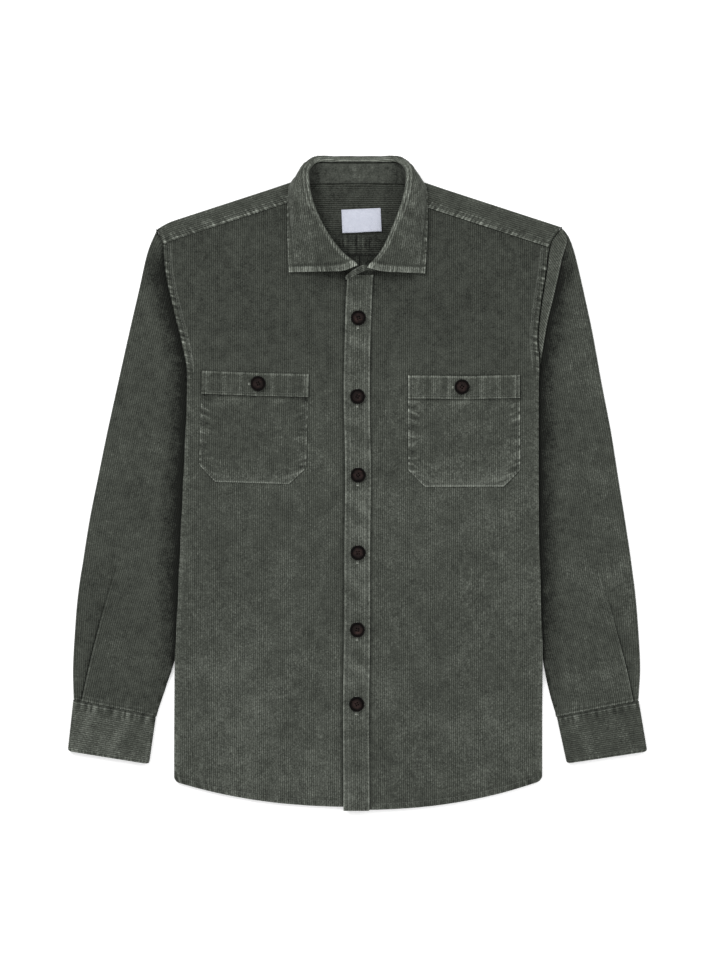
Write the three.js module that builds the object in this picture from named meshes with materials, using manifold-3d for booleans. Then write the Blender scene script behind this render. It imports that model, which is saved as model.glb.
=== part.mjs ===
// A corduroy overshirt (shacket) laid flat on its back, buttoned up, with the sleeves beside the body.
// Millimetres. +Z is up from the table, +Y points to the collar, and +X is the wearer's left.
// The origin is on the table, under the middle of the garment.
// Every cloth piece is a wall: a grid of points on its outer side, and the same grid moved in by the cloth's
// thickness.

import * as THREE from "three";
import { mergeVertices } from "three/addons/utils/BufferGeometryUtils.js";
import Module from "manifold-3d";

const wasm = await Module();
wasm.setup();

// Driving dimensions
const CLOTH = 1.2; // one ply of corduroy
const DOUBLE = 2.4; // two plies with their interlining, as in a collar, placket or cuff
const SEAM_GAP = 0.3; // between pieces that are sewn or lie on each other
const BODY_AIR = 2.6; // between the back and the front, where they lie on each other
const SIDE_ROUND = 5; // how far in from a side the cloth starts to turn over
const SIDE_GAP = 1.8; // between the front and the back along their side seam
const SLEEVE_HEIGHT = 6.3; // a sleeve's thickness at its middle
const TUCKED_HEIGHT = 5; // and where it lies under the body's side
const CUFF_HEIGHT = 8.2;
const SHOULDER_HEIGHT = 8; // the fold along the shoulder
const YOKE_SEAM_Y = 273; // the seam between the yoke and the back
const SHOULDER = { neckX: 92, neckY: 356.5, slope: 0.326 };
const NECK = { halfWidth: 66, middleY: 340, frontDrop: 88, backY: 357.5 };
const HEM_WIDTH = 8; // the narrow turned hem
const HEM_RAISE = 0.8;
const BUTTON = { radius: 9, thick: 3, holeRadius: 0.9, holeSpacing: 2.6 };

// The wearer's right and left side, as the sign of x and what differs between them
const SIDES = {
  right: { sign: -1, hemY: -388, hemRise: 29, yokeDrop: 24 },
  left: { sign: 1, hemY: -391.5, hemRise: 33, yokeDrop: 30 },
};

// How far the armhole, and below it the side, is from the centre line
const SIDE_EDGE = [
  { y: -400, right: 220, left: 221.5 },
  { y: -290, right: 220, left: 221.5 },
  { y: -215, right: 219, left: 222 },
  { y: -165, right: 216.5, left: 220.5 },
  { y: -55, right: 211.5, left: 217.5 },
  { y: 30, right: 207.5, left: 217 },
  { y: 110, right: 204.2, left: 217 },
  { y: 140, right: 205, left: 218 },
  { y: 172, right: 211.5, left: 215.8 },
  { y: 205, right: 219.8, left: 218.6 },
  { y: 250, right: 229.8, left: 225.5 },
  { y: 288, right: 234, left: 231.5 },
  { y: 304, right: 239.5, left: 242 },
  { y: 320, right: 243, left: 247 },
];
const ARMHOLE_FOOT_Y = 133;
const ARMHOLE_GAP = 1.1;
const ARMHOLE_RIDGE = 2.4;
const INSIDE_LOWEST = 0.4;

// The sleeves, a row for each section from the armhole to the cuff: the fold on the outside of the arm, and the
// one inside
const SLEEVE_SECTIONS = {
  right: [
    { outX: 252, outY: 276, inX: 201, inY: 105 },
    { outX: 262, outY: 232, inX: 197, inY: 75 },
    { outX: 274, outY: 180, inX: 195, inY: 40 },
    { outX: 287.5, outY: 119, inX: 194.5, inY: 0 },
    { outX: 300, outY: 62, inX: 195, inY: -40 },
    { outX: 311, outY: 8, inX: 197, inY: -85 },
    { outX: 321, outY: -42, inX: 200.5, inY: -130 },
    { outX: 329, outY: -92, inX: 207, inY: -170 },
    { outX: 335.5, outY: -137, inX: 217, inY: -206 },
    { outX: 339, outY: -180, inX: 225.5, inY: -232 },
    { outX: 341.2, outY: -222, inX: 233.5, inY: -256 },
    { outX: 340.5, outY: -258.5, inX: 241.2, inY: -279 },
  ],
  left: [
    { outX: 262, outY: 266, inX: 213, inY: 105 },
    { outX: 271.5, outY: 228, inX: 209.5, inY: 75 },
    { outX: 282, outY: 180, inX: 208, inY: 40 },
    { outX: 293, outY: 119, inX: 207.5, inY: 0 },
    { outX: 304, outY: 62, inX: 208, inY: -40 },
    { outX: 312.5, outY: 8, inX: 209, inY: -85 },
    { outX: 320.5, outY: -42, inX: 212, inY: -130 },
    { outX: 328, outY: -92, inX: 216.5, inY: -170 },
    { outX: 333.5, outY: -137, inX: 221.5, inY: -206 },
    { outX: 337, outY: -180, inX: 226.5, inY: -236 },
    { outX: 339, outY: -222, inX: 232, inY: -258 },
    { outX: 337, outY: -260, inX: 238.5, inY: -279.5 },
  ],
};

// The pleat that takes the sleeve into its cuff: how far its fold lies from the sleeve's outer fold, and how
// deep it steps
const SLEEVE_PLEAT = {
  right: [
    { outY: -260, inset: 10, step: 2.6 },
    { outY: -222, inset: 19, step: 2.6 },
    { outY: -180, inset: 27, step: 2 },
    { outY: -137, inset: 35, step: 1 },
    { outY: -92, inset: 42, step: 0 },
  ],
  left: [
    { outY: -260, inset: 7, step: 2.6 },
    { outY: -222, inset: 17, step: 2.4 },
    { outY: -180, inset: 26, step: 1.4 },
    { outY: -137, inset: 34, step: 0 },
  ],
};

// The strip of sleeve head that stands up beside the armhole before the sleeve drops under it
const SLEEVE_HEAD = {
  right: { stands: 0, widths: [{ y: 142, width: 3 }, { y: 302, width: 3 }] },
  left: {
    stands: 3.2,
    widths: [
      { y: 142, width: 1.5 },
      { y: 162, width: 7.5 },
      { y: 201, width: 14 },
      { y: 267, width: 17.5 },
      { y: 302, width: 20 },
    ],
  },
};

// The cuffs' corners, on the sleeve's end and on the hand's
const CUFFS = {
  right: { topOut: [340.6, -258.9], topIn: [241.3, -279.4], endOut: [347.4, -320], endIn: [249.7, -336.7] },
  left: { topOut: [337.1, -260.4], topIn: [238.6, -279.9], endOut: [347.4, -321.5], endIn: [250.7, -336] },
};

// The button band wanders a little from the centre line
const PLACKET_WIDTH = 31;
const PLACKET_CROWN = 0.5; // its middle stands over its edges
const PLACKET_MIDDLE = [
  { y: -400, x: -1.6 },
  { y: -250, x: -1.4 },
  { y: -100, x: 0 },
  { y: 0, x: 0.3 },
  { y: 100, x: -0.5 },
  { y: 200, x: 0.6 },
  { y: 250, x: 3.2 },
];
const PLACKET_Y = { top: 249, bottom: -392.4 };
const FRONT_BUTTON_Y = [197.5, 103.5, 9.5, -83.5, -175.5, -264.5];

// The patch pockets
const POCKETS = {
  right: { middleX: -122, topY: 132.9, width: 128, height: 133, tilt: -0.031 },
  left: { middleX: 127.3, topY: 129.5, width: 134, height: 134, tilt: 0.004 },
};
const POCKET_CORNER = 20; // cut off the two lower corners
const POCKET_BAND = 28;
const POCKET_PUFF = 1;
const POCKET_GAP = 0.45; // between the panel and the pocket that lies on it
const BAND_ROWS = [0, 7, 14, 21, POCKET_BAND];
const POCKET_COLUMNS = [-0.5, -0.45, -0.3, -0.1, 0.1, 0.3, 0.45, 0.5];

// The collar on the wearer's left, a row for each section from the centre back to the front end. Its points are
// the stand's foot in the neck seam, the roll line, where the leaf turns and comes down, and its outer edge.
// At the back the leaf lies under the yoke, it wraps round the shoulder, and in front it lies on the panel.
const COLLAR_SECTIONS = [
  {
    foot: [0, 359.4, 4.7], roll: [0, 385.5, 16],
    turn: [0, 391.3, 10], low: [0, 384, 2.6], edge: [0, 329, 1.35],
  },
  {
    foot: [26, 359.7, 4.7], roll: [27, 385.5, 16.5],
    turn: [27.5, 391.3, 10.5], low: [28, 384, 2.6], edge: [30, 330, 1.35],
  },
  {
    foot: [47, 361, 4.8], roll: [49.5, 384.5, 18.5],
    turn: [53, 390, 12], low: [57, 381, 2.7], edge: [60, 337, 1.4],
  },
  {
    foot: [56, 363.6, 6.2], roll: [59, 375.5, 24],
    turn: [69, 378.5, 18], low: [76, 371, 3.2], edge: [80, 351.5, 1.5],
  },
  {
    foot: [59.8, 361.5, 8], roll: [59.4, 369, 27.5],
    turn: [72, 373, 24], low: [80.5, 371.5, 6.5], edge: [85, 358.5, 1.6],
  },
  {
    foot: [61.5, 357, 10], roll: [58.8, 362, 30],
    turn: [73.5, 366.5, 28], low: [82, 366.5, 14.5], edge: [85.5, 362, 3.4],
  },
  {
    foot: [63.2, 346, 9.4], roll: [57, 349, 31],
    turn: [72, 353.5, 30.5], low: [82, 355.5, 20], edge: [86, 355, 10.6],
  },
  {
    foot: [63.5, 333, 8.8], roll: [52.8, 333, 30],
    turn: [68, 337, 30], low: [79, 337, 20.5], edge: [84.2, 335, 10.5],
  },
  {
    foot: [59, 305, 8], roll: [43, 307, 27],
    turn: [58, 309, 28], low: [74, 308, 19.5], edge: [83.6, 304, 9.4],
  },
  {
    foot: [44, 273.5, 7.4], roll: [28.6, 277, 23.5],
    turn: [45, 277, 24.5], low: [66, 275, 17], edge: [82, 272, 8.8],
  },
  {
    foot: [22, 254, 9], roll: [13.6, 258.5, 20],
    turn: [32, 257.5, 21.5], low: [56, 254.5, 15], edge: [79, 251, 8.8],
  },
];
// The end of the stand on the wearer's left, which buttons across the other one
const STAND_TAB = [
  { foot: [12, 254.5, 14], roll: [9, 262, 21.5] },
  { foot: [-4, 249, 14], roll: [-4, 256, 20.5] },
  { foot: [-14, 246, 14], roll: [-13, 251, 18.5] },
];

const LEAF_LOWEST = 1.35;

const LABEL = { x: 4.8, y: 314.4, width: 47, height: 28, thick: 1, tilt: 0.045 };

// The look of each material
const MATERIALS = {
  corduroy: new THREE.MeshStandardMaterial({ color: 0x494d47, roughness: 0.95, metalness: 0 }),
  button: new THREE.MeshStandardMaterial({ color: 0x2a211e, roughness: 0.4, metalness: 0 }),
  label: new THREE.MeshStandardMaterial({ color: 0xd9dce2, roughness: 0.8, metalness: 0 }),
};

const clamp = (value, low, high) => Math.min(high, Math.max(low, value));
const mix = (from, to, share) => from + (to - from) * share;

// 0 before from, 1 after to, and smooth between
function ease(from, to, value) {
  const share = clamp((value - from) / (to - from), 0, 1);
  return share * share * (3 - 2 * share);
}

// A table's column at a value of its key column, on a smooth curve through the rows
function follow(rows, key, value, column) {
  const rising = rows[0][key] < rows[rows.length - 1][key];
  const sorted = rising ? rows : [...rows].reverse();
  const at = clamp(value, sorted[0][key], sorted[sorted.length - 1][key]);
  let low = 0;
  while (low < sorted.length - 2 && sorted[low + 1][key] <= at) low += 1;
  const slope = (row) => {
    const before = sorted[Math.max(row - 1, 0)];
    const after = sorted[Math.min(row + 1, sorted.length - 1)];
    return (after[column] - before[column]) / (after[key] - before[key]);
  };
  const span = sorted[low + 1][key] - sorted[low][key];
  const t = (at - sorted[low][key]) / span;
  const rise = t * t * (3 - 2 * t);
  const ends = mix(sorted[low][column], sorted[low + 1][column], rise);
  return ends + span * (slope(low) * t * (1 - t) * (1 - t) - slope(low + 1) * t * t * (1 - t));
}

// Evenly spread points on a smooth curve through a list of points
function curveThrough(points, count) {
  const curve = new THREE.CatmullRomCurve3(points, false, "centripetal");
  return Array.from({ length: count }, (_, k) => curve.getPoint(k / (count - 1)));
}

// A cloth wall as a closed mesh. rows holds the outer points, and row then column turn right-handed about the
// way out.
function wall(name, rows, { thick = CLOTH, ring = false, material = MATERIALS.corduroy } = {}) {
  const rowCount = rows.length;
  const columnCount = rows[0].length;
  const outer = (i, j) => rows[i][ring ? (j + columnCount) % columnCount : clamp(j, 0, columnCount - 1)];
  const inward = (i, j) => {
    const along = outer(Math.min(i + 1, rowCount - 1), j).clone().sub(outer(Math.max(i - 1, 0), j));
    const across = outer(i, j + 1).clone().sub(outer(i, j - 1));
    return along.cross(across).normalize().multiplyScalar(-thick);
  };
  const positions = [];
  const insideStart = rowCount * columnCount;
  const number = (i, j, inside) => (inside ? insideStart : 0) + i * columnCount + (j % columnCount);
  for (const inside of [false, true]) {
    for (let i = 0; i < rowCount; i += 1) {
      for (let j = 0; j < columnCount; j += 1) {
        const point = outer(i, j).clone();
        if (inside) point.add(inward(i, j)).setZ(Math.max(point.z, INSIDE_LOWEST));
        positions.push(...point.toArray());
      }
    }
  }
  const faces = [];
  const quad = (a, b, c, d) => faces.push(a, b, c, a, c, d);
  const columns = ring ? columnCount : columnCount - 1;
  for (let i = 0; i < rowCount - 1; i += 1) {
    for (let j = 0; j < columns; j += 1) {
      quad(number(i, j), number(i + 1, j), number(i + 1, j + 1), number(i, j + 1));
      quad(number(i, j, 1), number(i, j + 1, 1), number(i + 1, j + 1, 1), number(i + 1, j, 1));
    }
  }
  const last = rowCount - 1;
  for (let j = 0; j < columns; j += 1) {
    quad(number(0, j), number(0, j + 1), number(0, j + 1, 1), number(0, j, 1));
    quad(number(last, j), number(last, j, 1), number(last, j + 1, 1), number(last, j + 1));
  }
  if (!ring) {
    const end = columnCount - 1;
    for (let i = 0; i < last; i += 1) {
      quad(number(i, 0), number(i, 0, 1), number(i + 1, 0, 1), number(i + 1, 0));
      quad(number(i, end), number(i + 1, end), number(i + 1, end, 1), number(i, end, 1));
    }
  }
  const geometry = new THREE.BufferGeometry();
  geometry.setAttribute("position", new THREE.Float32BufferAttribute(positions, 3));
  geometry.setIndex(faces);
  const mesh = new THREE.Mesh(geometry, material);
  mesh.name = name;
  return mesh;
}

// A grid of points: make(i, j) for each row and column
function grid(rowCount, columnCount, make) {
  const row = (i) => Array.from({ length: columnCount }, (_, j) => make(i, j));
  return Array.from({ length: rowCount }, (_, i) => row(i));
}

const shoulderY = (x) => SHOULDER.neckY - (Math.abs(x) - SHOULDER.neckX) * SHOULDER.slope;
const sideReach = (side, y) => follow(SIDE_EDGE, "y", y, side);
const hemCurve = (side, x) => {
  const { hemY, hemRise } = SIDES[side];
  return hemY + hemRise * (clamp(Math.abs(x), 0, 222) / 215) ** 2.25;
};
// The lower corners are rounded off: the hem rises fast over the last few millimetres
const HEM_CORNER = { rise: 10, atY: -350, from: 9, past: 1 };
const cornerRise = (side, x) => {
  const reach = sideReach(side, HEM_CORNER.atY);
  return HEM_CORNER.rise * ease(reach - HEM_CORNER.from, reach + HEM_CORNER.past, Math.abs(x)) ** 2;
};
const yokeSeamFrontY = (side, x) => shoulderY(x) - SIDES[side].yokeDrop;
const frontNeckY = (x) => {
  const roundness = Math.sqrt(Math.max(0, 1 - (x / NECK.halfWidth) ** 2));
  return NECK.middleY - NECK.frontDrop * roundness;
};

// How high a side of the body lies on the sleeve tucked under it
function lift(side, x, y) {
  const along = ease(190, 140, y) * ease(-262, -185, y);
  const inner = follow(SLEEVE_SECTIONS[side], "inY", clamp(y, -250, 105), "inX");
  return (TUCKED_HEIGHT + SEAM_GAP + 0.1) * along * ease(inner - 45, inner - 3, Math.abs(x));
}

// Slow waves of the cloth over the body
const waves = (x, y) =>
  0.45 * Math.sin(x / 46 + 1.3) * Math.sin(y / 71 + 0.4) + 0.25 * Math.sin(x / 27 - y / 58);

// The top of the front where nothing lies under it but the back
function bodyTop(side, x, y) {
  const flat = lift(side, x, y) + 2 * CLOTH + BODY_AIR + waves(x, y);
  const toShoulder = shoulderY(x) - y;
  const armhole = ease(120, 160, y) * ease(26, 4, sideReach(side, y) - Math.abs(x));
  return Math.max(flat + ARMHOLE_RIDGE * armhole, mix(flat, SHOULDER_HEIGHT, ease(60, 12, toShoulder)));
}

// How far a body edge turns over towards the table at a height y, from the top or the bottom
function turn(side, y, top, under) {
  const fold = ease(146, 124, y);
  return { down: mix(0.5, (top - under - SIDE_GAP) / 2, fold), round: mix(2, SIDE_ROUND, fold) };
}

// The wearer's left front lies on the right one along the button band
const frontTop = (side, x, y) =>
  bodyTop(side, x, y) + (side === "left" ? (CLOTH + SEAM_GAP) * ease(29, 21, x) : 0);

// One body panel's points: shares of the width from the centre edge to the side's turn, then round the turn
function panelPoint(side, share, quarter, edges, down, surface, under) {
  const { sign } = SIDES[side];
  const { topY, bottomY, centreX } = edges;
  let y = mix(topY(0), bottomY(0), down);
  let x = 0;
  let bend = turn(side, y, 1, 0);
  for (let pass = 0; pass < 6; pass += 1) {
    bend = turn(side, y, surface(x, y), under(x, y));
    const reach = sideReach(side, y) * sign;
    const flatEnd = reach - sign * bend.round;
    x = mix(centreX(y), flatEnd, share) + sign * bend.round * Math.sin(quarter);
    y = mix(topY(x), bottomY(x), down);
  }
  return { x, y, drop: bend.down * (1 - Math.cos(quarter)) };
}

// Column places for a panel: shares of its flat width, then the angle of the turn at its side
const TURN_ANGLES = [0.5, 0.95, 1.4];
const columnPlaces = (flatShares) => [
  ...flatShares.map((share) => ({ share, quarter: 0 })),
  ...TURN_ANGLES.map((quarter) => ({ share: 1, quarter })),
];

function makeFront(side) {
  const { sign } = SIDES[side];
  const overlapX = side === "left" ? -13.5 : 15;
  const centreX = (y) => overlapX + follow(PLACKET_MIDDLE, "y", y, "x");
  const topY = (x) => {
    const seamY = yokeSeamFrontY(side, x);
    const neckY = Math.abs(x) < NECK.halfWidth ? frontNeckY(x) : seamY;
    return (Math.abs(x) < NECK.halfWidth ? Math.min(neckY, seamY) : seamY) - SEAM_GAP;
  };
  const bottomY = (x) => hemCurve(side, x) + cornerRise(side, x);
  const surface = (x, y) => frontTop(side, x, y);
  const under = (x, y) => lift(side, x, y);
  const flatShares = [0, 0.065, 0.13, 0.19, 0.27, 0.35, 0.45, 0.55, 0.65, 0.74, 0.81, 0.88, 0.94, 1];
  const places = columnPlaces(flatShares);
  const downs = [0, 0.04, 0.08, 0.13, 0.18, 0.22, 0.26, 0.3, 0.36, 0.43, 0.5, 0.58, 0.66, 0.74];
  downs.push(0.8, 0.86, 0.92, 0.965, 0.984, 0.992, 1);
  const rows = grid(downs.length, places.length, (i, j) => {
    const { share, quarter } = places[j];
    const edges = { topY, bottomY, centreX };
    const { x, y, drop } = panelPoint(side, share, quarter, edges, downs[i], surface, under);
    const clear = ease(20, 28, Math.abs(x));
    const hem = HEM_RAISE * clear * ease(HEM_WIDTH, HEM_WIDTH - 2, y - bottomY(x));
    return new THREE.Vector3(x, y, surface(x, y) - drop + hem);
  });
  return wall(`front_${side}`, sign > 0 ? rows : rows.map((row) => [...row].reverse()));
}

function makeBack() {
  const halves = {};
  const flatShares = [0, 0.35, 0.68, 0.76, 0.83, 0.89, 0.95, 1];
  const downs = [0, 0.05, 0.1, 0.15, 0.2, 0.25, 0.34, 0.43, 0.52, 0.61, 0.68, 0.73, 0.78];
  downs.push(0.84, 0.92, 0.98, 1);
  for (const side of ["right", "left"]) {
    const topY = () => YOKE_SEAM_Y - SEAM_GAP;
    const bottomY = (x) => hemCurve("right", x) + 2 + cornerRise(side, x);
    const under = (x, y) => lift(side, x, y);
    const surface = (x, y) => frontTop(side, Math.max(Math.abs(x), 60) * SIDES[side].sign, y);
    halves[side] = grid(downs.length, flatShares.length + TURN_ANGLES.length, (i, j) => {
      const { share, quarter } = columnPlaces(flatShares)[j];
      const edges = { topY, bottomY, centreX: () => 0 };
      const { x, y, drop } = panelPoint(side, share, quarter, edges, downs[i], surface, under);
      return new THREE.Vector3(x, y, under(x, y) + drop);
    });
  }
  // From the wearer's left to the right, so that the way out is down
  const rows = halves.left.map((row, i) => [...row].reverse().concat(halves.right[i].slice(1)));
  return wall("back", rows);
}

// The yoke lies over the collar's leaf at the back of the neck
const LEAF_UNDER = { height: 3.4, fromY: 290, toY: 326, fromX: 104, toX: 86 };
const yokeRaise = (x, y) => {
  const { height, fromY, toY, fromX, toX } = LEAF_UNDER;
  return height * ease(fromY, toY, y) * ease(fromX, toX, Math.abs(x));
};

// The yoke runs from the seam with the back, round the shoulder's fold, to the seam with the front
const YOKE_PATH = { foldStart: 7, foldEnd: 12, frontEnd: 16 };
// How far along that path the yoke goes: at the neck it stops at the collar's foot
function yokeEnd(x) {
  const reach = Math.abs(x);
  if (reach >= NECK.halfWidth + 2) return YOKE_PATH.frontEnd;
  const backY = NECK.backY + 3.5 * (reach / 50) ** 2 - 1.5;
  const flatY = shoulderY(x) - SIDE_ROUND;
  const onBack = (YOKE_PATH.foldStart * (backY - YOKE_SEAM_Y)) / (flatY - YOKE_SEAM_Y);
  const pastNeck = ease(54, NECK.halfWidth + 2, reach);
  return mix(Math.min(onBack, YOKE_PATH.foldStart), YOKE_PATH.frontEnd, pastNeck);
}

function yokePoint(share, alongPath) {
  const side = share < 0 ? "right" : "left";
  const { foldStart, foldEnd, frontEnd } = YOKE_PATH;
  let x = share * sideReach(side, YOKE_SEAM_Y);
  let y = YOKE_SEAM_Y;
  let z = 0;
  for (let pass = 0; pass < 6; pass += 1) {
    const foldY = shoulderY(x);
    if (alongPath <= foldStart) {
      y = mix(YOKE_SEAM_Y, foldY - SIDE_ROUND, alongPath / foldStart);
      z = yokeRaise(x, y);
    } else if (alongPath <= foldEnd) {
      const angle = Math.PI * ((alongPath - foldStart) / (foldEnd - foldStart) - 0.5);
      y = foldY - SIDE_ROUND + SIDE_ROUND * Math.cos(angle);
      const low = yokeRaise(x, foldY - SIDE_ROUND);
      z = mix(low, SHOULDER_HEIGHT, (1 + Math.sin(angle)) / 2);
    } else {
      const seamY = yokeSeamFrontY(side, x);
      y = mix(foldY - SIDE_ROUND, seamY, (alongPath - foldEnd) / (frontEnd - foldEnd));
      z = bodyTop(side, x, y);
    }
    x = share * sideReach(side, y);
  }
  return new THREE.Vector3(x, y, z);
}

function makeYoke() {
  const shares = [1, 0.86, 0.7, 0.55, 0.43, 0.37, 0.32, 0.3, 0.28, 0.26, 0.242, 0.222, 0.17];
  const across = [...shares.map((share) => -share), 0, ...shares.reverse()];
  const rowCount = 14;
  const rows = grid(rowCount, across.length, (i, j) => {
    const end = yokeEnd(across[j] * sideReach(across[j] < 0 ? "right" : "left", YOKE_SEAM_Y + 60));
    return yokePoint(across[j], (end * i) / (rowCount - 1));
  });
  return wall("yoke", rows);
}

// Plan points of a sleeve: row 0 lies along the armhole, rows 1 and 2 on both sides of the head's step, and the
// sections follow
function sleeveRows(side) {
  const head = SLEEVE_HEAD[side];
  const tip = { x: sideReach(side, 304) + ARMHOLE_GAP, y: 304 };
  const armhole = (offset, share) => {
    const y = mix(tip.y - offset * 0.25, ARMHOLE_FOOT_Y - offset * 0.6, share);
    const width = offset === 0 ? 0 : follow(head.widths, "y", y, "width") + offset;
    return new THREE.Vector2(sideReach(side, y) + ARMHOLE_GAP + width, y);
  };
  const sections = SLEEVE_SECTIONS[side];
  const rows = [0, -0.7, 0.9].map((offset) => (share) => armhole(offset, share));
  const halfway = (share) => {
    const first = sections[0];
    const end = new THREE.Vector2(mix(first.outX, first.inX, share), mix(first.outY, first.inY, share));
    return armhole(0.9, share).lerp(end, 0.5);
  };
  rows.push(halfway);
  for (const { outX, outY, inX, inY } of sections)
    rows.push((share) => new THREE.Vector2(mix(outX, inX, share), mix(outY, inY, share)));
  return rows;
}

function sleeveTop(side, x, y, row) {
  const head = SLEEVE_HEAD[side];
  const outside = x - sideReach(side, y);
  const full = mix(TUCKED_HEIGHT, SLEEVE_HEIGHT, ease(2, 34, outside));
  const toCuff = ease(-215, -262, y + (x - 290) * 0.19);
  const standing = row <= 1 ? head.stands * ease(140, 165, y) : 0;
  return mix(full, CUFF_HEIGHT - 1.8, toCuff) + standing + 0.3 * Math.sin(y / 37 + x / 22);
}

function makeSleeve(side) {
  const { sign } = SIDES[side];
  const plan = sleeveRows(side);
  const flatShares = [0.12, 0.2, 0.3, 0.42, 0.55, 0.68, 0.8, 0.9];
  const under = [0.8, 0.5, 0.2];
  const ends = [0.1, 0.6, 1.1];
  const rows = plan.map((at, row) => {
    const outer = at(0);
    const inner = at(1);
    const width = outer.distanceTo(inner);
    const round = Math.min(4.5, width / 10) / width;
    const outY = outer.y;
    const pleat = SLEEVE_PLEAT[side];
    const inset = follow(pleat, "outY", outY, "inset") / width;
    const step = outY < -90 ? Math.max(0, follow(pleat, "outY", outY, "step")) : 0;
    const pointAt = (share, rise) => {
      const { x, y } = at(clamp(share, 0, 1));
      const top = sleeveTop(side, x, y, row);
      const lowered = top - step * ease(inset + 0.008, inset - 0.008, share);
      const z = rise >= 0 ? mix(lowered / 2, lowered, rise) : (top / 2) * (1 + rise);
      return new THREE.Vector3(x * sign, y, z);
    };
    const pleatShares = outY < -90 ? [inset - 0.009, inset + 0.009] : [0.05, 0.08];
    const top = [
      ...ends.map((angle) => pointAt(round * (1 - Math.cos(angle)), Math.sin(angle))),
      ...pleatShares.map((share) => pointAt(Math.max(share, round * 1.05), 1)),
      ...flatShares.map((share) => pointAt(mix(Math.max(inset, 0.08), 1, share), 1)),
      ...[...ends].reverse().map((angle) => pointAt(1 - round * (1 - Math.cos(angle)), Math.sin(angle))),
    ];
    const bottom = [
      ...ends.slice(1).map((angle) => pointAt(1 - round * (1 - Math.cos(angle)), -Math.sin(angle))),
      pointAt(1 - round, -1),
      ...under.map((share) => pointAt(share, -1)),
      pointAt(round, -1),
      ...ends.slice(1).reverse().map((angle) => pointAt(round * (1 - Math.cos(angle)), -Math.sin(angle))),
    ];
    return [...top, ...bottom];
  });
  return wall(`sleeve_${side}`, sign > 0 ? rows.map((row) => row.reverse()) : rows, { ring: true });
}

function makeCuff(side) {
  const { sign } = SIDES[side];
  const { topOut, topIn, endOut, endIn } = CUFFS[side];
  const downs = [0, 0.08, 0.5, 0.9, 1];
  const flat = [0.08, 0.36, 0.64, 0.92];
  const angles = [0, 0.5, 1];
  const round = 0.045;
  const rows = downs.map((down) => {
    const out = [0, 1].map((k) => mix(topOut[k], endOut[k], down));
    const inner = [0, 1].map((k) => mix(topIn[k], endIn[k], down));
    const at = (share) => [0, 1].map((k) => mix(out[k], inner[k], share));
    const height = CUFF_HEIGHT - 0.8 * ease(0.9, 1, down) - 0.5 * ease(0.06, 0, down);
    const pointAt = (share, rise) => {
      const [x, y] = at(share);
      return new THREE.Vector3(x * sign, y, (height / 2) * (1 + rise));
    };
    const turned = (angle) => round * (1 - Math.cos(angle));
    return [
      ...angles.map((angle) => pointAt(turned(angle), Math.sin(angle))),
      ...flat.map((share) => pointAt(share, 1)),
      ...[...angles].reverse().map((angle) => pointAt(1 - turned(angle), Math.sin(angle))),
      pointAt(1 - turned(angles[1]), -Math.sin(angles[1])),
      pointAt(1 - turned(angles[2]), -Math.sin(angles[2])),
      ...[...flat].reverse().map((share) => pointAt(share, -1)),
      pointAt(turned(angles[2]), -Math.sin(angles[2])),
      pointAt(turned(angles[1]), -Math.sin(angles[1])),
    ];
  });
  const turned = sign > 0 ? rows.map((row) => row.reverse()) : rows;
  return wall(`cuff_${side}`, turned, { ring: true, thick: DOUBLE });
}

const placketTop = (x, y) => frontTop("left", Math.min(x, 14), y) + SEAM_GAP + DOUBLE + 0.15;

function makePlacket() {
  const downs = Array.from({ length: 25 }, (_, k) => k / 24);
  const shares = [-0.5, -0.44, 0.44, 0.5];
  const rows = grid(downs.length, shares.length, (i, j) => {
    const y = mix(PLACKET_Y.top, PLACKET_Y.bottom, downs[i]);
    const x = follow(PLACKET_MIDDLE, "y", y, "x") + shares[j] * PLACKET_WIDTH;
    const crown = PLACKET_CROWN * ease(0.5, 0.44, Math.abs(shares[j]));
    return new THREE.Vector3(x, y, placketTop(x, y) + crown);
  });
  return wall("placket", rows, { thick: DOUBLE });
}

// A point of a pocket, from the share of its width and the distance down, and the front's height there
function pocketPlace(side, share, down) {
  const { middleX, topY, width, height, tilt } = POCKETS[side];
  const narrowed = width / 2 - POCKET_CORNER * clamp((down - height + POCKET_CORNER) / POCKET_CORNER, 0, 1);
  const across = 2 * share * narrowed;
  const x = middleX + across * Math.cos(tilt) + down * Math.sin(tilt);
  const y = topY + across * Math.sin(tilt) - down * Math.cos(tilt);
  return { x, y, z: frontTop(side, x, y) };
}

function makePocket(side) {
  const { height } = POCKETS[side];
  const downs = [...BAND_ROWS, 45, 70, 95, height - POCKET_CORNER, height - 8, height];
  const shares = POCKET_COLUMNS;
  const rows = grid(downs.length, shares.length, (i, j) => {
    const { x, y, z } = pocketPlace(side, shares[j], downs[i]);
    const puff = POCKET_PUFF * ease(0.5, 0.3, Math.abs(shares[j])) * ease(height, height - 25, downs[i]);
    const raised = puff * ease(POCKET_BAND, POCKET_BAND + 17, downs[i]);
    return new THREE.Vector3(x, y, z + POCKET_GAP + CLOTH + raised);
  });
  return wall(`pocket_${side}`, rows);
}

const bandTop = (z) => z + POCKET_GAP + SEAM_GAP + 2 * CLOTH + 0.2;

function makePocketBand(side) {
  const downs = BAND_ROWS;
  const shares = POCKET_COLUMNS;
  const rows = grid(downs.length, shares.length, (i, j) => {
    const { x, y, z } = pocketPlace(side, shares[j], downs[i]);
    return new THREE.Vector3(x, y, bandTop(z));
  });
  return wall(`pocket_band_${side}`, rows);
}

// The collar's sections on both sides, from the wearer's right front end to the left one
function collarSections() {
  const mirrored = COLLAR_SECTIONS.slice(1)
    .reverse()
    .map((section) =>
      Object.fromEntries(Object.entries(section).map(([key, [x, y, z]]) => [key, [-x, y, z]])),
    );
  return [...mirrored, ...COLLAR_SECTIONS];
}

// A line of points through one column of the sections
function collarLine(sections, column, count) {
  return curveThrough(sections.map((section) => new THREE.Vector3(...section[column])), count);
}

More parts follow.
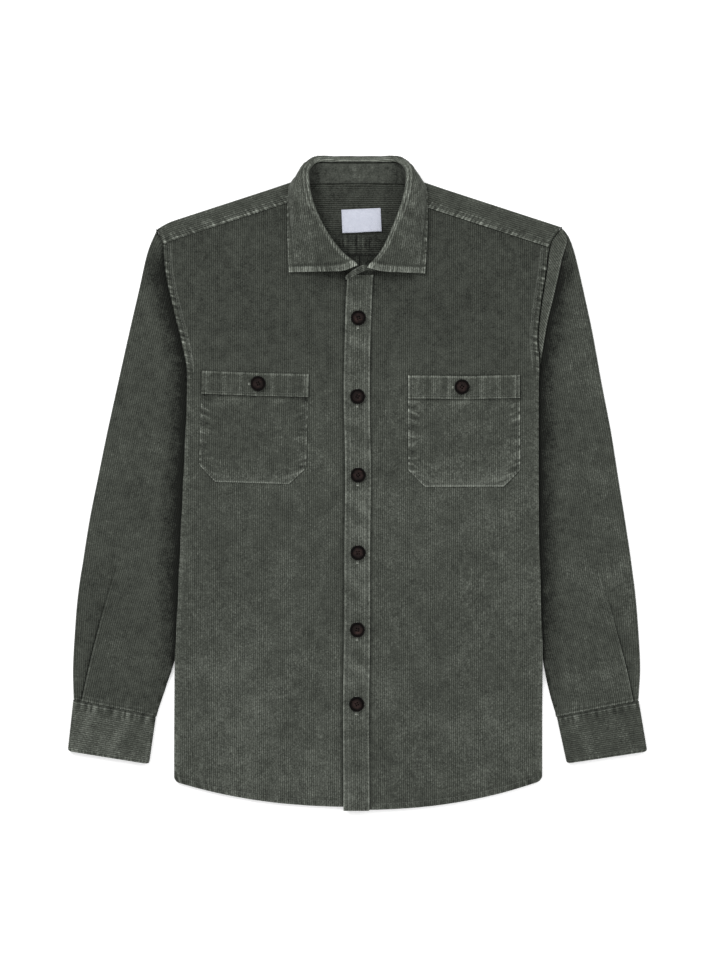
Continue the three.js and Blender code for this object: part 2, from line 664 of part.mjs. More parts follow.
function makeCollarLeaf() {
  const sections = collarSections();
  const count = 35;
  const roll = collarLine(sections, "roll", count);
  const turn = collarLine(sections, "turn", count);
  const low = collarLine(sections, "low", count);
  const edge = collarLine(sections, "edge", count);
  const foot = collarLine(sections, "foot", count);
  const sides = roll.map((start, k) => curveThrough([start, turn[k], low[k], edge[k]], 9));
  const clearOfTable = (point) => point.setZ(Math.max(point.z, LEAF_LOWEST));
  const rows = sides[0].map((_, share) => sides.map((side) => clearOfTable(side[share])));
  // The leaf starts just inside the roll, over the top of the stand
  const inside = roll.map((start, k) => {
    const toFoot = foot[k].clone().sub(start).normalize();
    const outward = turn[k].clone().sub(start).setZ(0).normalize();
    return start.clone().addScaledVector(toFoot, 1.6).addScaledVector(outward, -0.9);
  });
  const middle = [inside, ...rows];
  return wall("collar_leaf", centred(middle, DOUBLE), { thick: DOUBLE });
}

// A grid moved out by half a wall, so that the grid given is the wall's middle
function centred(rows, thick) {
  const last = rows.length - 1;
  const end = rows[0].length - 1;
  return rows.map((row, i) =>
    row.map((point, j) => {
      const along = rows[Math.min(i + 1, last)][j].clone().sub(rows[Math.max(i - 1, 0)][j]);
      const across = row[Math.min(j + 1, end)].clone().sub(row[Math.max(j - 1, 0)]);
      return point.clone().addScaledVector(along.cross(across).normalize(), thick / 2);
    }),
  );
}

function makeCollarStand() {
  const sections = [...collarSections().slice(1), ...STAND_TAB];
  const count = 33;
  const foot = collarLine(sections, "foot", count);
  const roll = collarLine(sections, "roll", count);
  const rows = [0, 0.5, 1].map((share) =>
    foot.map((start, k) => {
      const top = roll[k].clone().sub(start);
      const length = top.length() - 4.3;
      return start.clone().addScaledVector(top.normalize(), share * length);
    }),
  );
  return wall("collar_stand", centred(rows.reverse(), 1.8), { thick: 1.8 });
}

function makeLabel() {
  const rows = grid(2, 2, (i, j) => {
    const across = (j - 0.5) * LABEL.width;
    const down = (i - 0.5) * LABEL.height;
    const x = LABEL.x + across * Math.cos(LABEL.tilt) + down * Math.sin(LABEL.tilt);
    const y = LABEL.y + across * Math.sin(LABEL.tilt) - down * Math.cos(LABEL.tilt);
    return new THREE.Vector3(x, y, LEAF_UNDER.height + CLOTH + SEAM_GAP + LABEL.thick);
  });
  return wall("label", rows, { thick: LABEL.thick, material: MATERIALS.label });
}

// A closed geometry as a solid that can be cut
function solid(geometry) {
  const bare = geometry.clone();
  bare.deleteAttribute("normal");
  bare.deleteAttribute("uv");
  const merged = mergeVertices(bare, 1e-4);
  return new wasm.Manifold(
    new wasm.Mesh({
      numProp: 3,
      vertProperties: merged.attributes.position.array,
      triVerts: new Uint32Array(merged.index.array),
    }),
  );
}

function geometryOf(manifold) {
  const { vertProperties, triVerts } = manifold.getMesh();
  const geometry = new THREE.BufferGeometry();
  geometry.setAttribute("position", new THREE.BufferAttribute(vertProperties, 3));
  geometry.setIndex(new THREE.BufferAttribute(triVerts, 1));
  return geometry;
}

// A turned button with a raised rim and four holes, its underside at z = 0
function buttonGeometry() {
  const { radius, thick, holeRadius, holeSpacing } = BUTTON;
  const profile = [
    [0, 0],
    [radius * 0.9, 0],
    [radius, thick * 0.4],
    [radius * 0.88, thick],
    [radius * 0.6, thick * 0.66],
    [0, thick * 0.6],
  ].map(([r, z]) => new THREE.Vector2(r, z));
  const turned = new THREE.LatheGeometry(profile, 14).rotateX(Math.PI / 2);
  let body = solid(turned);
  for (const [x, y] of [[1, 1], [-1, 1], [-1, -1], [1, -1]]) {
    const hole = new THREE.CylinderGeometry(holeRadius, holeRadius, thick * 3, 5).rotateX(Math.PI / 2);
    hole.translate((x * holeSpacing) / 2, (y * holeSpacing) / 2, 0);
    body = body.subtract(solid(hole));
  }
  return geometryOf(body);
}

function makeButton(name, x, y, z, turnAngle) {
  const mesh = new THREE.Mesh(buttonGeometry(), MATERIALS.button);
  mesh.name = name;
  mesh.position.set(x, y, z + SEAM_GAP);
  mesh.rotation.z = turnAngle;
  return mesh;
}

function makeFrontButtons() {
  return FRONT_BUTTON_Y.map((y, k) => {
    const x = follow(PLACKET_MIDDLE, "y", y, "x") + 0.6;
    const highest = Math.max(...[-1, 0, 1].map((step) => placketTop(x, y + step * BUTTON.radius)));
    return makeButton(`button_${k + 1}`, x, y, highest + PLACKET_CROWN + 0.1, k * 0.7);
  });
}

function makePocketButton(side) {
  const { x, y } = pocketPlace(side, side === "left" ? -0.015 : 0.025, POCKET_BAND / 2);
  const heights = [-1, 0, 1].map((step) => frontTop(side, x + step * BUTTON.radius, y));
  return makeButton(`pocket_button_${side}`, x, y, bandTop(Math.max(...heights)) + 0.2, 0.3);
}

const shirt = new THREE.Group();
shirt.add(makeBack(), makeYoke(), makeFront("right"), makeFront("left"), makePlacket());
for (const side of ["right", "left"]) {
  shirt.add(makeSleeve(side), makeCuff(side), makePocket(side), makePocketBand(side), makePocketButton(side));
}
shirt.add(makeCollarStand(), makeCollarLeaf(), makeLabel(), ...makeFrontButtons());

export default shirt;
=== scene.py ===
"""A garment-dyed corduroy overshirt, laid flat on its back and buttoned up.

Lengths in this script are millimetres until a mesh is made, and the frame's metres after that.
+Y points to the collar, +X is the wearer's left, and +Z is up from the table.
Each cloth piece is a thin closed shell. Its grid follows the corduroy's wales, four columns to a wale.
"""

import math

import bpy
import numpy as np
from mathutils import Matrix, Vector
from mathutils.bvhtree import BVHTree


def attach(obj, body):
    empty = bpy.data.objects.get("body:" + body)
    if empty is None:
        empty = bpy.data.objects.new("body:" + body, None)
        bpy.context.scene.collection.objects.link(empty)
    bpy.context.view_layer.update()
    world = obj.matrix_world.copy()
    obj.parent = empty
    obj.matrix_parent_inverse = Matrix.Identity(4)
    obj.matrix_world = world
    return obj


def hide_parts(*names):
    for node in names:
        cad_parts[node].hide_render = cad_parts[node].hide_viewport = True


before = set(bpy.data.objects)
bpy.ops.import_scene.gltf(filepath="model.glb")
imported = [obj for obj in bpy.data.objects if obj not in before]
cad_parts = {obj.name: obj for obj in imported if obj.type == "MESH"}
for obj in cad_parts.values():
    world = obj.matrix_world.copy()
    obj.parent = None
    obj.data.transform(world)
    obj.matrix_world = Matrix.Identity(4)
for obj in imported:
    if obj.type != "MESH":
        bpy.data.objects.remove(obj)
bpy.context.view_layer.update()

MM = 0.001
WALE = 2.5  # ten wales to the inch
STEP = WALE / 4  # a wale's crest, two flanks and groove
WALE_DEPTH = 0.26
ROW = 6.5  # between two rows of points along a wale
CLOTH = 1.2
DOUBLE = 2.4
SEAM_GAP = 0.3
SIDE_GAP = 1.4
BODY_AIR = 2.6
SIDE_ROUND = 5.0
SLEEVE_HEIGHT = 6.3
TUCKED_HEIGHT = 5.0
CUFF_HEIGHT = 8.2
SHOULDER_HEIGHT = 8.0
YOKE_SEAM_Y = 273.0
HEM_WIDTH = 8.0
HEM_CORNER = 6.5
ARMHOLE_FOOT_Y = 133.0
ARMHOLE_GAP = 1.1
PLACKET_WIDTH = 31.0
POCKET_CORNER = 20.0
POCKET_BAND = 28.0
LEAF_LOWEST = 1.35
YOKE_RAISED = 3.4
BUTTON_RADIUS = 9.0
BUTTON_THICK = 3.0
HOLE_RADIUS = 0.9
HOLE_PLACE = 1.84
FRONT_BUTTON_Y = [197.5, 103.5, 9.5, -83.5, -175.5, -264.5]

SIGN = {"right": -1, "left": 1}
HEM = {"right": (-388.0, 29.0), "left": (-391.5, 33.0)}
YOKE_DROP = {"right": 24.0, "left": 30.0}

# How far the armhole, and below it the side, is from the centre line
SIDE_EDGE = {
    "y": [-400, -290, -215, -165, -55, 30, 110, 140, 172, 205, 250, 288, 304, 320],
    "right": [220, 220, 219, 216.5, 211.5, 207.5, 204.2, 205, 211.5, 219.8, 229.8, 234, 239.5, 243],
    "left": [221.5, 221.5, 222, 220.5, 217.5, 217, 217, 218, 215.8, 218.6, 225.5, 231.5, 242, 247],
}
PLACKET_MIDDLE = {
    "y": [-400, -250, -100, 0, 100, 200, 250],
    "x": [-1.6, -1.4, 0, 0.3, -0.5, 0.6, 3.2],
}
# The sleeves' folds: on the outside of the arm, and the one tucked under the body
SLEEVE_OUT = {
    "right": [(240.6, 304), (252, 276), (262, 232), (274, 180), (287.5, 119), (300, 62), (311, 8), (321, -42),
              (329, -92), (335.5, -137), (339, -180), (341.2, -222), (340.5, -258.5)],
    "left": [(243.6, 306.6), (250.4, 300.3), (255.1, 291.6), (258.9, 281), (262, 270), (265.5, 255.6), (271.7, 228), (282, 180), (293, 119), (304, 62), (312.5, 8), (320.5, -42),
             (328, -92), (333.5, -137), (337, -180), (339, -222), (337, -260)],
}
SLEEVE_IN = {
    "right": {
        "y": [-279, -256, -232, -206, -170, -130, -85, -40, 0, 40, 75, 105, 133],
        "x": [241.2, 233.5, 225.5, 217, 207, 200.5, 197, 195, 194.5, 195, 197, 201, 205.8],
    },
    "left": {
        "y": [-279.5, -258, -236, -206, -170, -130, -85, -40, 0, 40, 75, 105, 133],
        "x": [238.5, 232, 226.5, 221.5, 216.5, 212, 209, 208, 207.5, 208, 209.5, 213, 218.6],
    },
}
# The pleat at the cuff: how far its fold is from the outer fold, and how deep it steps
PLEAT = {
    "right": {"y": [-260, -222, -180, -137, -92], "inset": [10, 19, 27, 35, 42], "step": [2.6, 2.6, 2, 1, 0]},
    "left": {"y": [-260, -222, -180, -137, -110], "inset": [7, 17, 26, 34, 39], "step": [2.6, 2.4, 1.4, 0.4, 0]},
}
# The corners of each cuff, at the sleeve's end and at the hand's
CUFFS = {
    "right": {"top_out": (340.6, -258.9), "top_in": (241.3, -279.4), "end_out": (347.4, -321), "end_in": (249.7, -336.7)},
    "left": {"top_out": (337.1, -260.4), "top_in": (238.6, -279.9), "end_out": (347.4, -321.5), "end_in": (250.7, -336)},
}
# The outer edge of the strip of sleeve head that stands beside the wearer's left armhole
SLEEVE_HEAD = {
    "y": [143, 150, 172, 194, 221, 247, 271, 283, 288, 294, 299, 304],
    "x": [219.3, 220.4, 224, 228, 234.6, 240.5, 245.8, 249.6, 251, 250.2, 248, 245],
}
SLEEVE_HEAD_HEIGHT = 3.2
POCKETS = {
    "right": {"x": -122, "y": 132.9, "width": 128, "height": 133, "tilt": -0.031},
    "left": {"x": 127.3, "y": 129.5, "width": 134, "height": 134, "tilt": 0.004},
}
# The collar on the wearer's left, from the centre back to the front end: its foot in the neck seam, the roll line,
# where the leaf turns, where it comes down, and its outer edge
COLLAR_BACK = [
    ((0, 358.9, 4.7), (0, 385.5, 16), (0, 390.2, 10), (0, 384, 2.6), (0, 329, 1.35)),
    ((26, 358.8, 4.7), (27, 385.5, 16.5), (27.5, 390.2, 10.5), (28, 384, 2.6), (30, 330, 1.35)),
    ((47, 358.4, 4.8), (49.5, 384.5, 18.5), (52, 389.5, 12), (57, 381, 2.7), (60, 337, 1.4)),
    ((56, 357.6, 6.2), (57.5, 375.5, 24), (64, 379.5, 18), (67.5, 374.5, 3.2), (75.5, 352, 1.5)),
    ((59.8, 355, 8), (59, 369, 27.5), (67, 373, 24), (72, 368.5, 6.5), (79, 356.5, 1.6)),
    ((61.5, 351, 9.4), (58.6, 362, 30), (69.5, 366, 28), (75.8, 362.5, 14.5), (80.2, 357, 3.4)),
    ((63.2, 344, 9.4), (57, 349, 31), (70, 352.5, 30.5), (79, 351.5, 20), (82.4, 350, 10.6)),
    ((63.5, 333, 8.8), (52.8, 333, 30), (68, 336, 30), (79, 335.5, 20.5), (83.4, 333, 10.5)),
]
COLLAR_FRONT = {
    "left": [
        ((59, 305, 8), (43, 307, 27), (58, 308, 28), (74, 307, 19.5), (83.4, 304, 9.4)),
        ((44, 273.5, 7.4), (28.6, 277, 23.5), (45, 275.5, 24.5), (66, 273.5, 17), (82.4, 272, 8.8)),
        ((20, 254, 9), (11.5, 257, 20), (29, 252.6, 21.5), (55, 251.6, 15), (81, 251, 8.8)),
    ],
    "right": [
        ((57, 305, 8), (40.5, 306, 27), (57, 308, 28), (74, 307, 19.5), (84, 304, 9.4)),
        ((36, 275, 7.4), (19, 276, 24), (38, 275, 25), (62, 273.5, 17), (83.2, 272, 8.8)),
        ((13, 257, 9), (-0.5, 260, 22.5), (16, 253.4, 22.5), (46, 252.6, 15.5), (82.4, 252.4, 8.8)),
    ],
}
STAND_TAB = [
    ((12, 254.5, 15), (8, 262.5, 23.5)),
    ((-3, 248, 15.5), (-3.5, 257.5, 25)),
    ((-14, 242.5, 14), (-15.5, 249, 20.5)),
]
# Soft creases of the cloth: from, to, how deep and how wide; a negative depth stands up
CREASES = {
    "front_right": [
        ((-213, -337), (-168, -331), 1.3, 5),
        ((-206, -348), (-150, -344), 0.7, 5),
        ((-196, 60), (-150, -60), 0.7, 16),
        ((-150, 250), (-92, 170), 0.6, 18),
        ((-60, -120), (-120, -250), 0.6, 24),
        ((-30, -20), (-90, -70), -0.4, 18),
        ((-80, 235), (-40, 150), 0.5, 14),
    ],
    "front_left": [
        ((205, 60), (160, -50), 0.7, 16),
        ((140, 260), (100, 175), 0.6, 18),
        ((60, -90), (120, -260), 0.6, 26),
        ((40, 40), (100, -30), -0.4, 18),
        ((70, 230), (42, 160), 0.5, 14),
        ((150, -200), (190, -320), 0.5, 20),
    ],
    "back": [
        ((-150, 230), (-60, 60), 0.6, 24),
        ((150, 230), (60, 40), 0.6, 24),
        ((-40, -60), (-110, -230), 0.5, 26),
        ((60, -90), (130, -260), 0.5, 24),
    ],
}


def clamp(value, low, high):
    return np.minimum(high, np.maximum(low, value))


def mix(start, end, share):
    return start + (end - start) * share


def ease(start, end, value):
    share = clamp((value - start) / (end - start), 0, 1)
    return share * share * (3 - 2 * share)


def follow(table, value, column):
    """A table's column at a value of its first column, on a smooth curve through the rows."""
    keys = np.array(table[next(iter(table))], float)
    values = np.array(table[column], float)
    at = clamp(value, keys[0], keys[-1])
    low = clamp(np.searchsorted(keys, at, side="right") - 1, 0, len(keys) - 2)
    rows = np.arange(len(keys))
    before, after = np.maximum(rows - 1, 0), np.minimum(rows + 1, len(keys) - 1)
    slope = (values[after] - values[before]) / (keys[after] - keys[before])
    span = keys[low + 1] - keys[low]
    t = (at - keys[low]) / span
    ends = mix(values[low], values[low + 1], t * t * (3 - 2 * t))
    return ends + span * (slope[low] * t * (1 - t) ** 2 - slope[low + 1] * t * t * (1 - t))


def wander(t, seed, size=1.0):
    """A smooth uneven wave of t, between about -1 and 1."""
    total = 0
    for k, (pace, share) in enumerate(((1.0, 0.5), (1.93, 0.3), (3.11, 0.2))):
        total = total + share * np.sin(t / size * pace * 2 * math.pi + seed * (2.1 + 1.7 * k) + k)
    return total


def ticks(along, seed, spacing):
    """Uneven puckers along a seam, from -1 to 1."""
    phase = along / spacing + 0.55 * wander(along, seed, spacing * 5.3)
    strength = 0.62 + 0.38 * wander(along, seed + 3, spacing * 2.9)
    return np.sin(2 * math.pi * phase) * strength


def beside(distance, width):
    """1 at a line and 0 from width away."""
    return ease(width, 0, np.abs(distance))


def shoulder_y(x):
    beyond = clamp(-x - 219, 0, 30)
    return 356.5 - (np.abs(x) - 92) * 0.326 - 0.009 * beyond**2


def reach(side, y):
    return follow(SIDE_EDGE, y, side)


def hem_y(side, x):
    low, rise = HEM[side]
    corner = HEM_CORNER - np.sqrt(HEM_CORNER**2 - clamp(np.abs(x) - reach(side, -350.0) + HEM_CORNER - 0.4, 0, HEM_CORNER) ** 2)
    return low + rise * (clamp(np.abs(x), 0, 222) / 215) ** 2.25 + corner


def front_top_y(side, x):
    neck = 340 - 88 * np.sqrt(np.maximum(0, 1 - (x / 66) ** 2))
    seam = shoulder_y(x) - YOKE_DROP[side]
    return np.where(np.abs(x) < 66, np.minimum(neck, seam), seam) - SEAM_GAP


def lift(side, x, y):
    """How high a side of the body lies on the sleeve tucked under it."""
    along = ease(190, 140, y) * ease(-262, -185, y)
    inner = follow(SLEEVE_IN[side], clamp(y, -250, 105), "x")
    return (TUCKED_HEIGHT + SEAM_GAP + 0.1) * along * ease(inner - 45, inner - 3, np.abs(x))


def waves(x, y):
    return 0.45 * np.sin(x / 46 + 1.3) * np.sin(y / 71 + 0.4) + 0.25 * np.sin(x / 27 - y / 58)


def body_top(side, x, y):
    flat = lift(side, x, y) + 2 * CLOTH + BODY_AIR + waves(x, y)
    to_shoulder = shoulder_y(x) - y
    armhole = ease(120, 160, y) * ease(26, 4, reach(side, y) - np.abs(x))
    return np.maximum(flat + 2.4 * armhole, mix(flat, SHOULDER_HEIGHT, ease(60, 12, to_shoulder)))


def front_top(side, x, y):
    raised = (CLOTH + SEAM_GAP) * ease(29, 21, x) if side == "left" else 0
    return body_top(side, x, y) + raised


def crease_depth(name, x, y):
    """Soft troughs and ridges, each fading out at both ends and to its sides."""
    total = np.zeros_like(x)
    for (ax, ay), (bx, by), depth, width in CREASES.get(name, []):
        length = math.hypot(bx - ax, by - ay)
        along = ((x - ax) * (bx - ax) + (y - ay) * (by - ay)) / length
        off = ((x - ax) * (by - ay) - (y - ay) * (bx - ax)) / length + 0.12 * width * np.sin(along / 13)
        total += depth * np.exp(-((off / width * 1.6) ** 2)) * ease(0, 0.35 * length, along) * ease(
            length, 0.6 * length, along
        )
    return total


def slope_normal(surface, x, y):
    """The way out of a surface given by its height."""
    nearby = 0.8
    dx = (surface(x + nearby, y) - surface(x - nearby, y)) / (2 * nearby)
    dy = (surface(x, y + nearby) - surface(x, y - nearby)) / (2 * nearby)
    normal = np.stack([-dx, -dy, np.ones_like(dx)], axis=-1)
    return normal / np.linalg.norm(normal, axis=-1, keepdims=True)


def groove(across):
    """How deep the cloth is at a place across the wales: 0 on a crest and 1 in the groove."""
    return 0.5 + 0.5 * np.cos(2 * math.pi * across / WALE)


def sampled(length, step):
    return np.linspace(0, 1, max(2, int(round(length / step)) + 1))


def solid_cloth(name, base, normal, across, along, wear_and_shading, thick=CLOTH, edge=None, depth=WALE_DEPTH, ring=False,
                every=8, close=None, relief=None, inside_wear_and_shading=None, wale_inside=False, run=None, pull=None):
    """A closed shell of cloth. base holds the crests' points in rows and columns, and normal points out of the cloth.

    across and along are the cloth's own coordinates. edge is the distance to a free edge, which is rounded.
    The inside takes every so many columns, and all the close ones. run goes along a sewn seam, and pull says how much the cloth puckers there.
    """
    rows, columns = base.shape[:2]
    round_off = np.zeros((rows, columns))
    radius = thick * 0.5
    if edge is not None:
        left = 1 - clamp(edge / (radius * 1.4), 0, 1)
        round_off = radius * (1 - np.sqrt(1 - left**2))
    inward = 1 - round_off / radius
    pile = depth * groove(across) if relief is None else relief
    outer = base - normal * (round_off + pile * inward)[..., None]
    kept = np.unique(np.append(np.arange(0, columns, every), columns - 1))
    if close is not None:
        kept = np.union1d(kept, np.flatnonzero(close))
    if ring:
        kept = np.arange(0, columns, every)
    inner_pile = depth * groove(across) * inward if wale_inside else np.zeros((rows, columns))
    inner = (base - normal * (thick - round_off - inner_pile)[..., None])[:, kept]
    inner[..., 2] = np.maximum(inner[..., 2], 0.3)
    outer[..., 2] = np.maximum(outer[..., 2], 0.0)
    points = np.concatenate([outer.reshape(-1, 3), inner.reshape(-1, 3)])
    inside = wear_and_shading if inside_wear_and_shading is None else inside_wear_and_shading
    run = np.zeros((rows, columns)) if run is None else run
    pull = np.zeros((rows, columns)) if pull is None else pull
    facts = {
        "run": np.concatenate([run.reshape(-1), run[:, kept].reshape(-1)]),
        "pull": np.concatenate([pull.reshape(-1), pull[:, kept].reshape(-1)]),
        "across": np.concatenate([across.reshape(-1), across[:, kept].reshape(-1)]),
        "along": np.concatenate([along.reshape(-1), along[:, kept].reshape(-1)]),
        "wear_and_shading": np.concatenate([wear_and_shading.reshape(-1), inside[:, kept].reshape(-1)]),
    }
    number = np.arange(rows * columns).reshape(rows, columns)
    within = rows * columns + np.arange(rows * len(kept)).reshape(rows, len(kept))
    if ring:
        number = np.concatenate([number, number[:, :1]], axis=1)
        within = np.concatenate([within, within[:, :1]], axis=1)
        kept = np.append(kept, columns)

    def quads(grid, outward):
        a, b, c, d = grid[:-1, :-1], grid[1:, :-1], grid[1:, 1:], grid[:-1, 1:]
        order = (a, b, c, d) if outward else (a, d, c, b)
        return np.stack([corner.reshape(-1) for corner in order], axis=1).tolist()

    faces = quads(number, True) + quads(within, False)
    for k in range(len(kept) - 1):
        first = number[0, kept[k] : kept[k + 1] + 1].tolist()
        last = number[-1, kept[k] : kept[k + 1] + 1].tolist()
        faces.append(first + [int(within[0, k + 1]), int(within[0, k])])
        faces.append(last[::-1] + [int(within[-1, k]), int(within[-1, k + 1])])
    if not ring:
        for i in range(rows - 1):
            faces.append([int(n) for n in (number[i, 0], within[i, 0], within[i + 1, 0], number[i + 1, 0])])
            faces.append([int(n) for n in (number[i, -1], number[i + 1, -1], within[i + 1, -1], within[i, -1])])
    ahead, sideways = np.diff(base, axis=0)[:, :-1], np.diff(base, axis=1)[:-1]
    if np.sum(np.cross(ahead, sideways) * normal[:-1, :-1]) < 0:
        faces = [face[::-1] for face in faces]
    return mesh_piece(f"{name}_cloth", points, faces, facts)


def mesh_piece(name, points, faces, facts):
    """A smooth mesh object of millimetre points. Points at the same place become one."""
    spots, first, place = np.unique(np.round(points, 3), axis=0, return_index=True, return_inverse=True)
    place = place.reshape(-1)
    kept = []
    for face in faces:
        corners = [int(place[n]) for n in face]
        corners = [n for k, n in enumerate(corners) if n != corners[k - 1]]
        if len(corners) >= 3 and len(set(corners)) == len(corners):
            kept.append(corners)
    mesh = bpy.data.meshes.new(name)
    mesh.from_pydata((points[first] * MM).tolist(), [], kept)
    for key, values in facts.items():
        layer = mesh.attributes.new(key, "FLOAT", "POINT")
        layer.data.foreach_set("value", np.asarray(values, np.float32)[first])
    mesh.validate()
    piece = bpy.data.objects.new(name, mesh)
    bpy.context.collection.objects.link(piece)
    bpy.ops.object.select_all(action="DESELECT")
    piece.select_set(True)
    bpy.context.view_layer.objects.active = piece
    bpy.ops.object.shade_smooth_by_angle(angle=math.radians(75))
    return piece


# The body: two fronts and the back
TURNS = np.array([0.2, 0.4, 0.6, 0.8, 1.0, 1.2, 1.4])


def side_turn(side, y, top, under):
    fold = ease(146, 124, y)
    return mix(0.6, (top - under - SIDE_GAP) / 2, fold), mix(2, SIDE_ROUND, fold)


def panel_places(side, across, shares, top_y, bottom_y, centre, surface, under):
    """Where a body panel's points are, and how far each has turned down round the side."""
    sign = SIGN[side]
    wanted = np.concatenate([across, np.full(len(TURNS), 1e4)])[None, :]
    quarter = np.concatenate([np.zeros(len(across)), TURNS])[None, :]
    down = shares[:, None]
    y = mix(top_y(np.zeros(1)), bottom_y(np.zeros(1)), down) + np.zeros_like(wanted)
    x = sign * clamp(wanted, 0, 200) + np.zeros_like(y)
    drop = round_by = None
    for _ in range(8):
        drop, round_by = side_turn(side, y, surface(x, y), under(x, y))
        flat = clamp(wanted, sign * centre(y), reach(side, y) - round_by)
        x = sign * (flat + round_by * np.sin(quarter))
        y = mix(top_y(x), bottom_y(x), down)
    return x, y, drop * (1 - np.cos(quarter)), quarter + np.zeros_like(x)


def seam_wear_and_shading(distance, along, seed, spacing=7.5, reach_in=9.0):
    """The pale ridges that washing leaves along a sewn seam, and its dimples darkened as painted shade."""
    return ticks(along, seed, spacing) * ease(reach_in, 1.5, distance) * ease(-0.5, 1.0, distance)


def make_front(side):
    name = f"front_{side}"
    sign = SIGN[side]
    overlap = -13.5 if side == "left" else 15

    def centre(y):
        return overlap + follow(PLACKET_MIDDLE, y, "x")

    across = np.arange(-18 / STEP, 240 / STEP) * STEP
    shares = np.concatenate([sampled(720, ROW)[:-2], 1 - np.array([8.6, 7.6, 6.8, 5.5, 3.6, 2, 1, 0.4, 0]) / 700])
    x, y, drop, quarter = panel_places(
        side, across, shares, lambda x: front_top_y(side, x), lambda x: hem_y(side, x), centre,
        lambda x, y: front_top(side, x, y), lambda x, y: lift(side, x, y),
    )
    to_side = reach(side, y) - np.abs(x)
    to_hem = y - hem_y(side, x)
    to_top = front_top_y(side, x) - y
    armhole = ease(122, 138, y)
    open_cloth = ease(18, 26, np.abs(x))
    # The armhole's turnings lie under the panel and make a ridge, with a line of topstitching beside it
    pull = 1.0 * armhole * ease(12, 2, to_side) + 0.25 * (1 - armhole) * ease(9, 1, to_side)
    ridge = armhole * (0.55 * ease(9, 6.5, to_side) - 0.35 * beside(to_side - 6.6, 1.2))
    hem_puckers = ticks(x + 0.3 * y, 5.0 + sign, 10.0)
    hem = open_cloth * (0.8 * ease(HEM_WIDTH, HEM_WIDTH - 1.5, to_hem) - 0.35 * beside(to_hem - 6.8, 1.2))
    hem = hem + open_cloth * 0.3 * hem_puckers * ease(14, 3, to_hem)
    top = 0.3 * ticks(x, 9.0 + sign, 8.0) * ease(9, 1, to_top) * ease(60, 75, np.abs(x))
    detail = ridge + hem + top - crease_depth(name, x, y) + 0.22 * wander(x + 0.35 * y, 1.3 + sign, 61)
    z = front_top(side, x, y) + detail - drop
    normal = slope_normal(lambda x, y: front_top(side, x, y), x, y)
    outward = np.stack([np.full_like(x, sign), 0 * x, 0 * x], axis=-1)
    turned = quarter[..., None]
    normal = normal * np.cos(turned) + outward * np.sin(turned)
    # Seam ridges worn paler; painted shade in the sunken topstitching and along the armhole edge
    wear_and_shading = armhole * (0.34 * beside(to_side - 2.2, 2.2) + 0.3 * beside(to_side - 8.6, 2) - 0.3 * beside(to_side - 6.4, 1.2))
    wear_and_shading = wear_and_shading - 0.35 * armhole * beside(to_side, 1.2)
    corner = ease(150, 215, np.abs(x))
    # The hem's edge and its pucker ridges worn paler; painted shade in the sunken stitching and in the pucker dimples
    wear_and_shading = wear_and_shading + 0.16 * beside(to_hem, 2.2) * open_cloth - 0.16 * beside(to_hem - 7.6, 1.4) * open_cloth
    wear_and_shading = wear_and_shading + (0.1 + 0.3 * corner) * hem_puckers * ease(16, 3, to_hem) * open_cloth
    wear_and_shading = wear_and_shading - 0.16 * corner * ease(14, 2, to_hem)
    # Painted highlight where the side fold turns up to the light, and painted shade along the top edge at the yoke seam
    # and in the creases
    wear_and_shading = wear_and_shading + 0.12 * (1 - armhole) * beside(to_side, 9)
    wear_and_shading = wear_and_shading - 0.18 * ease(3, 0.3, to_top) + 0.12 * ticks(x, 9.0 + sign, 8.0) * ease(10, 1, to_top)
    wear_and_shading = wear_and_shading - 0.05 * crease_depth(name, x, y)
    wear_and_shading = wear_and_shading - 0.27 * ease(40, 250, y) + (0.03 if side == "left" else 0.09) * ease(-60, -300, y)
    # Painted shadow of the collar on the chest, and painted shadows beside the placket's two edges
    wear_and_shading = wear_and_shading - 0.3 * ease(64, 20, np.abs(x)) * ease(226, 246, y)
    from_placket = np.abs(x - follow(PLACKET_MIDDLE, y, "x")) - 15.5
    wear_and_shading = wear_and_shading - 0.4 * ease(-1, 0.5, from_placket) * ease(4.5, 0.5, from_placket)
    base = np.stack([x, y, z], axis=-1)
    return solid_cloth(name, base, normal, x, y, wear_and_shading, edge=np.minimum(to_hem, 50), run=1.4 * y + 0.4 * x, pull=pull)


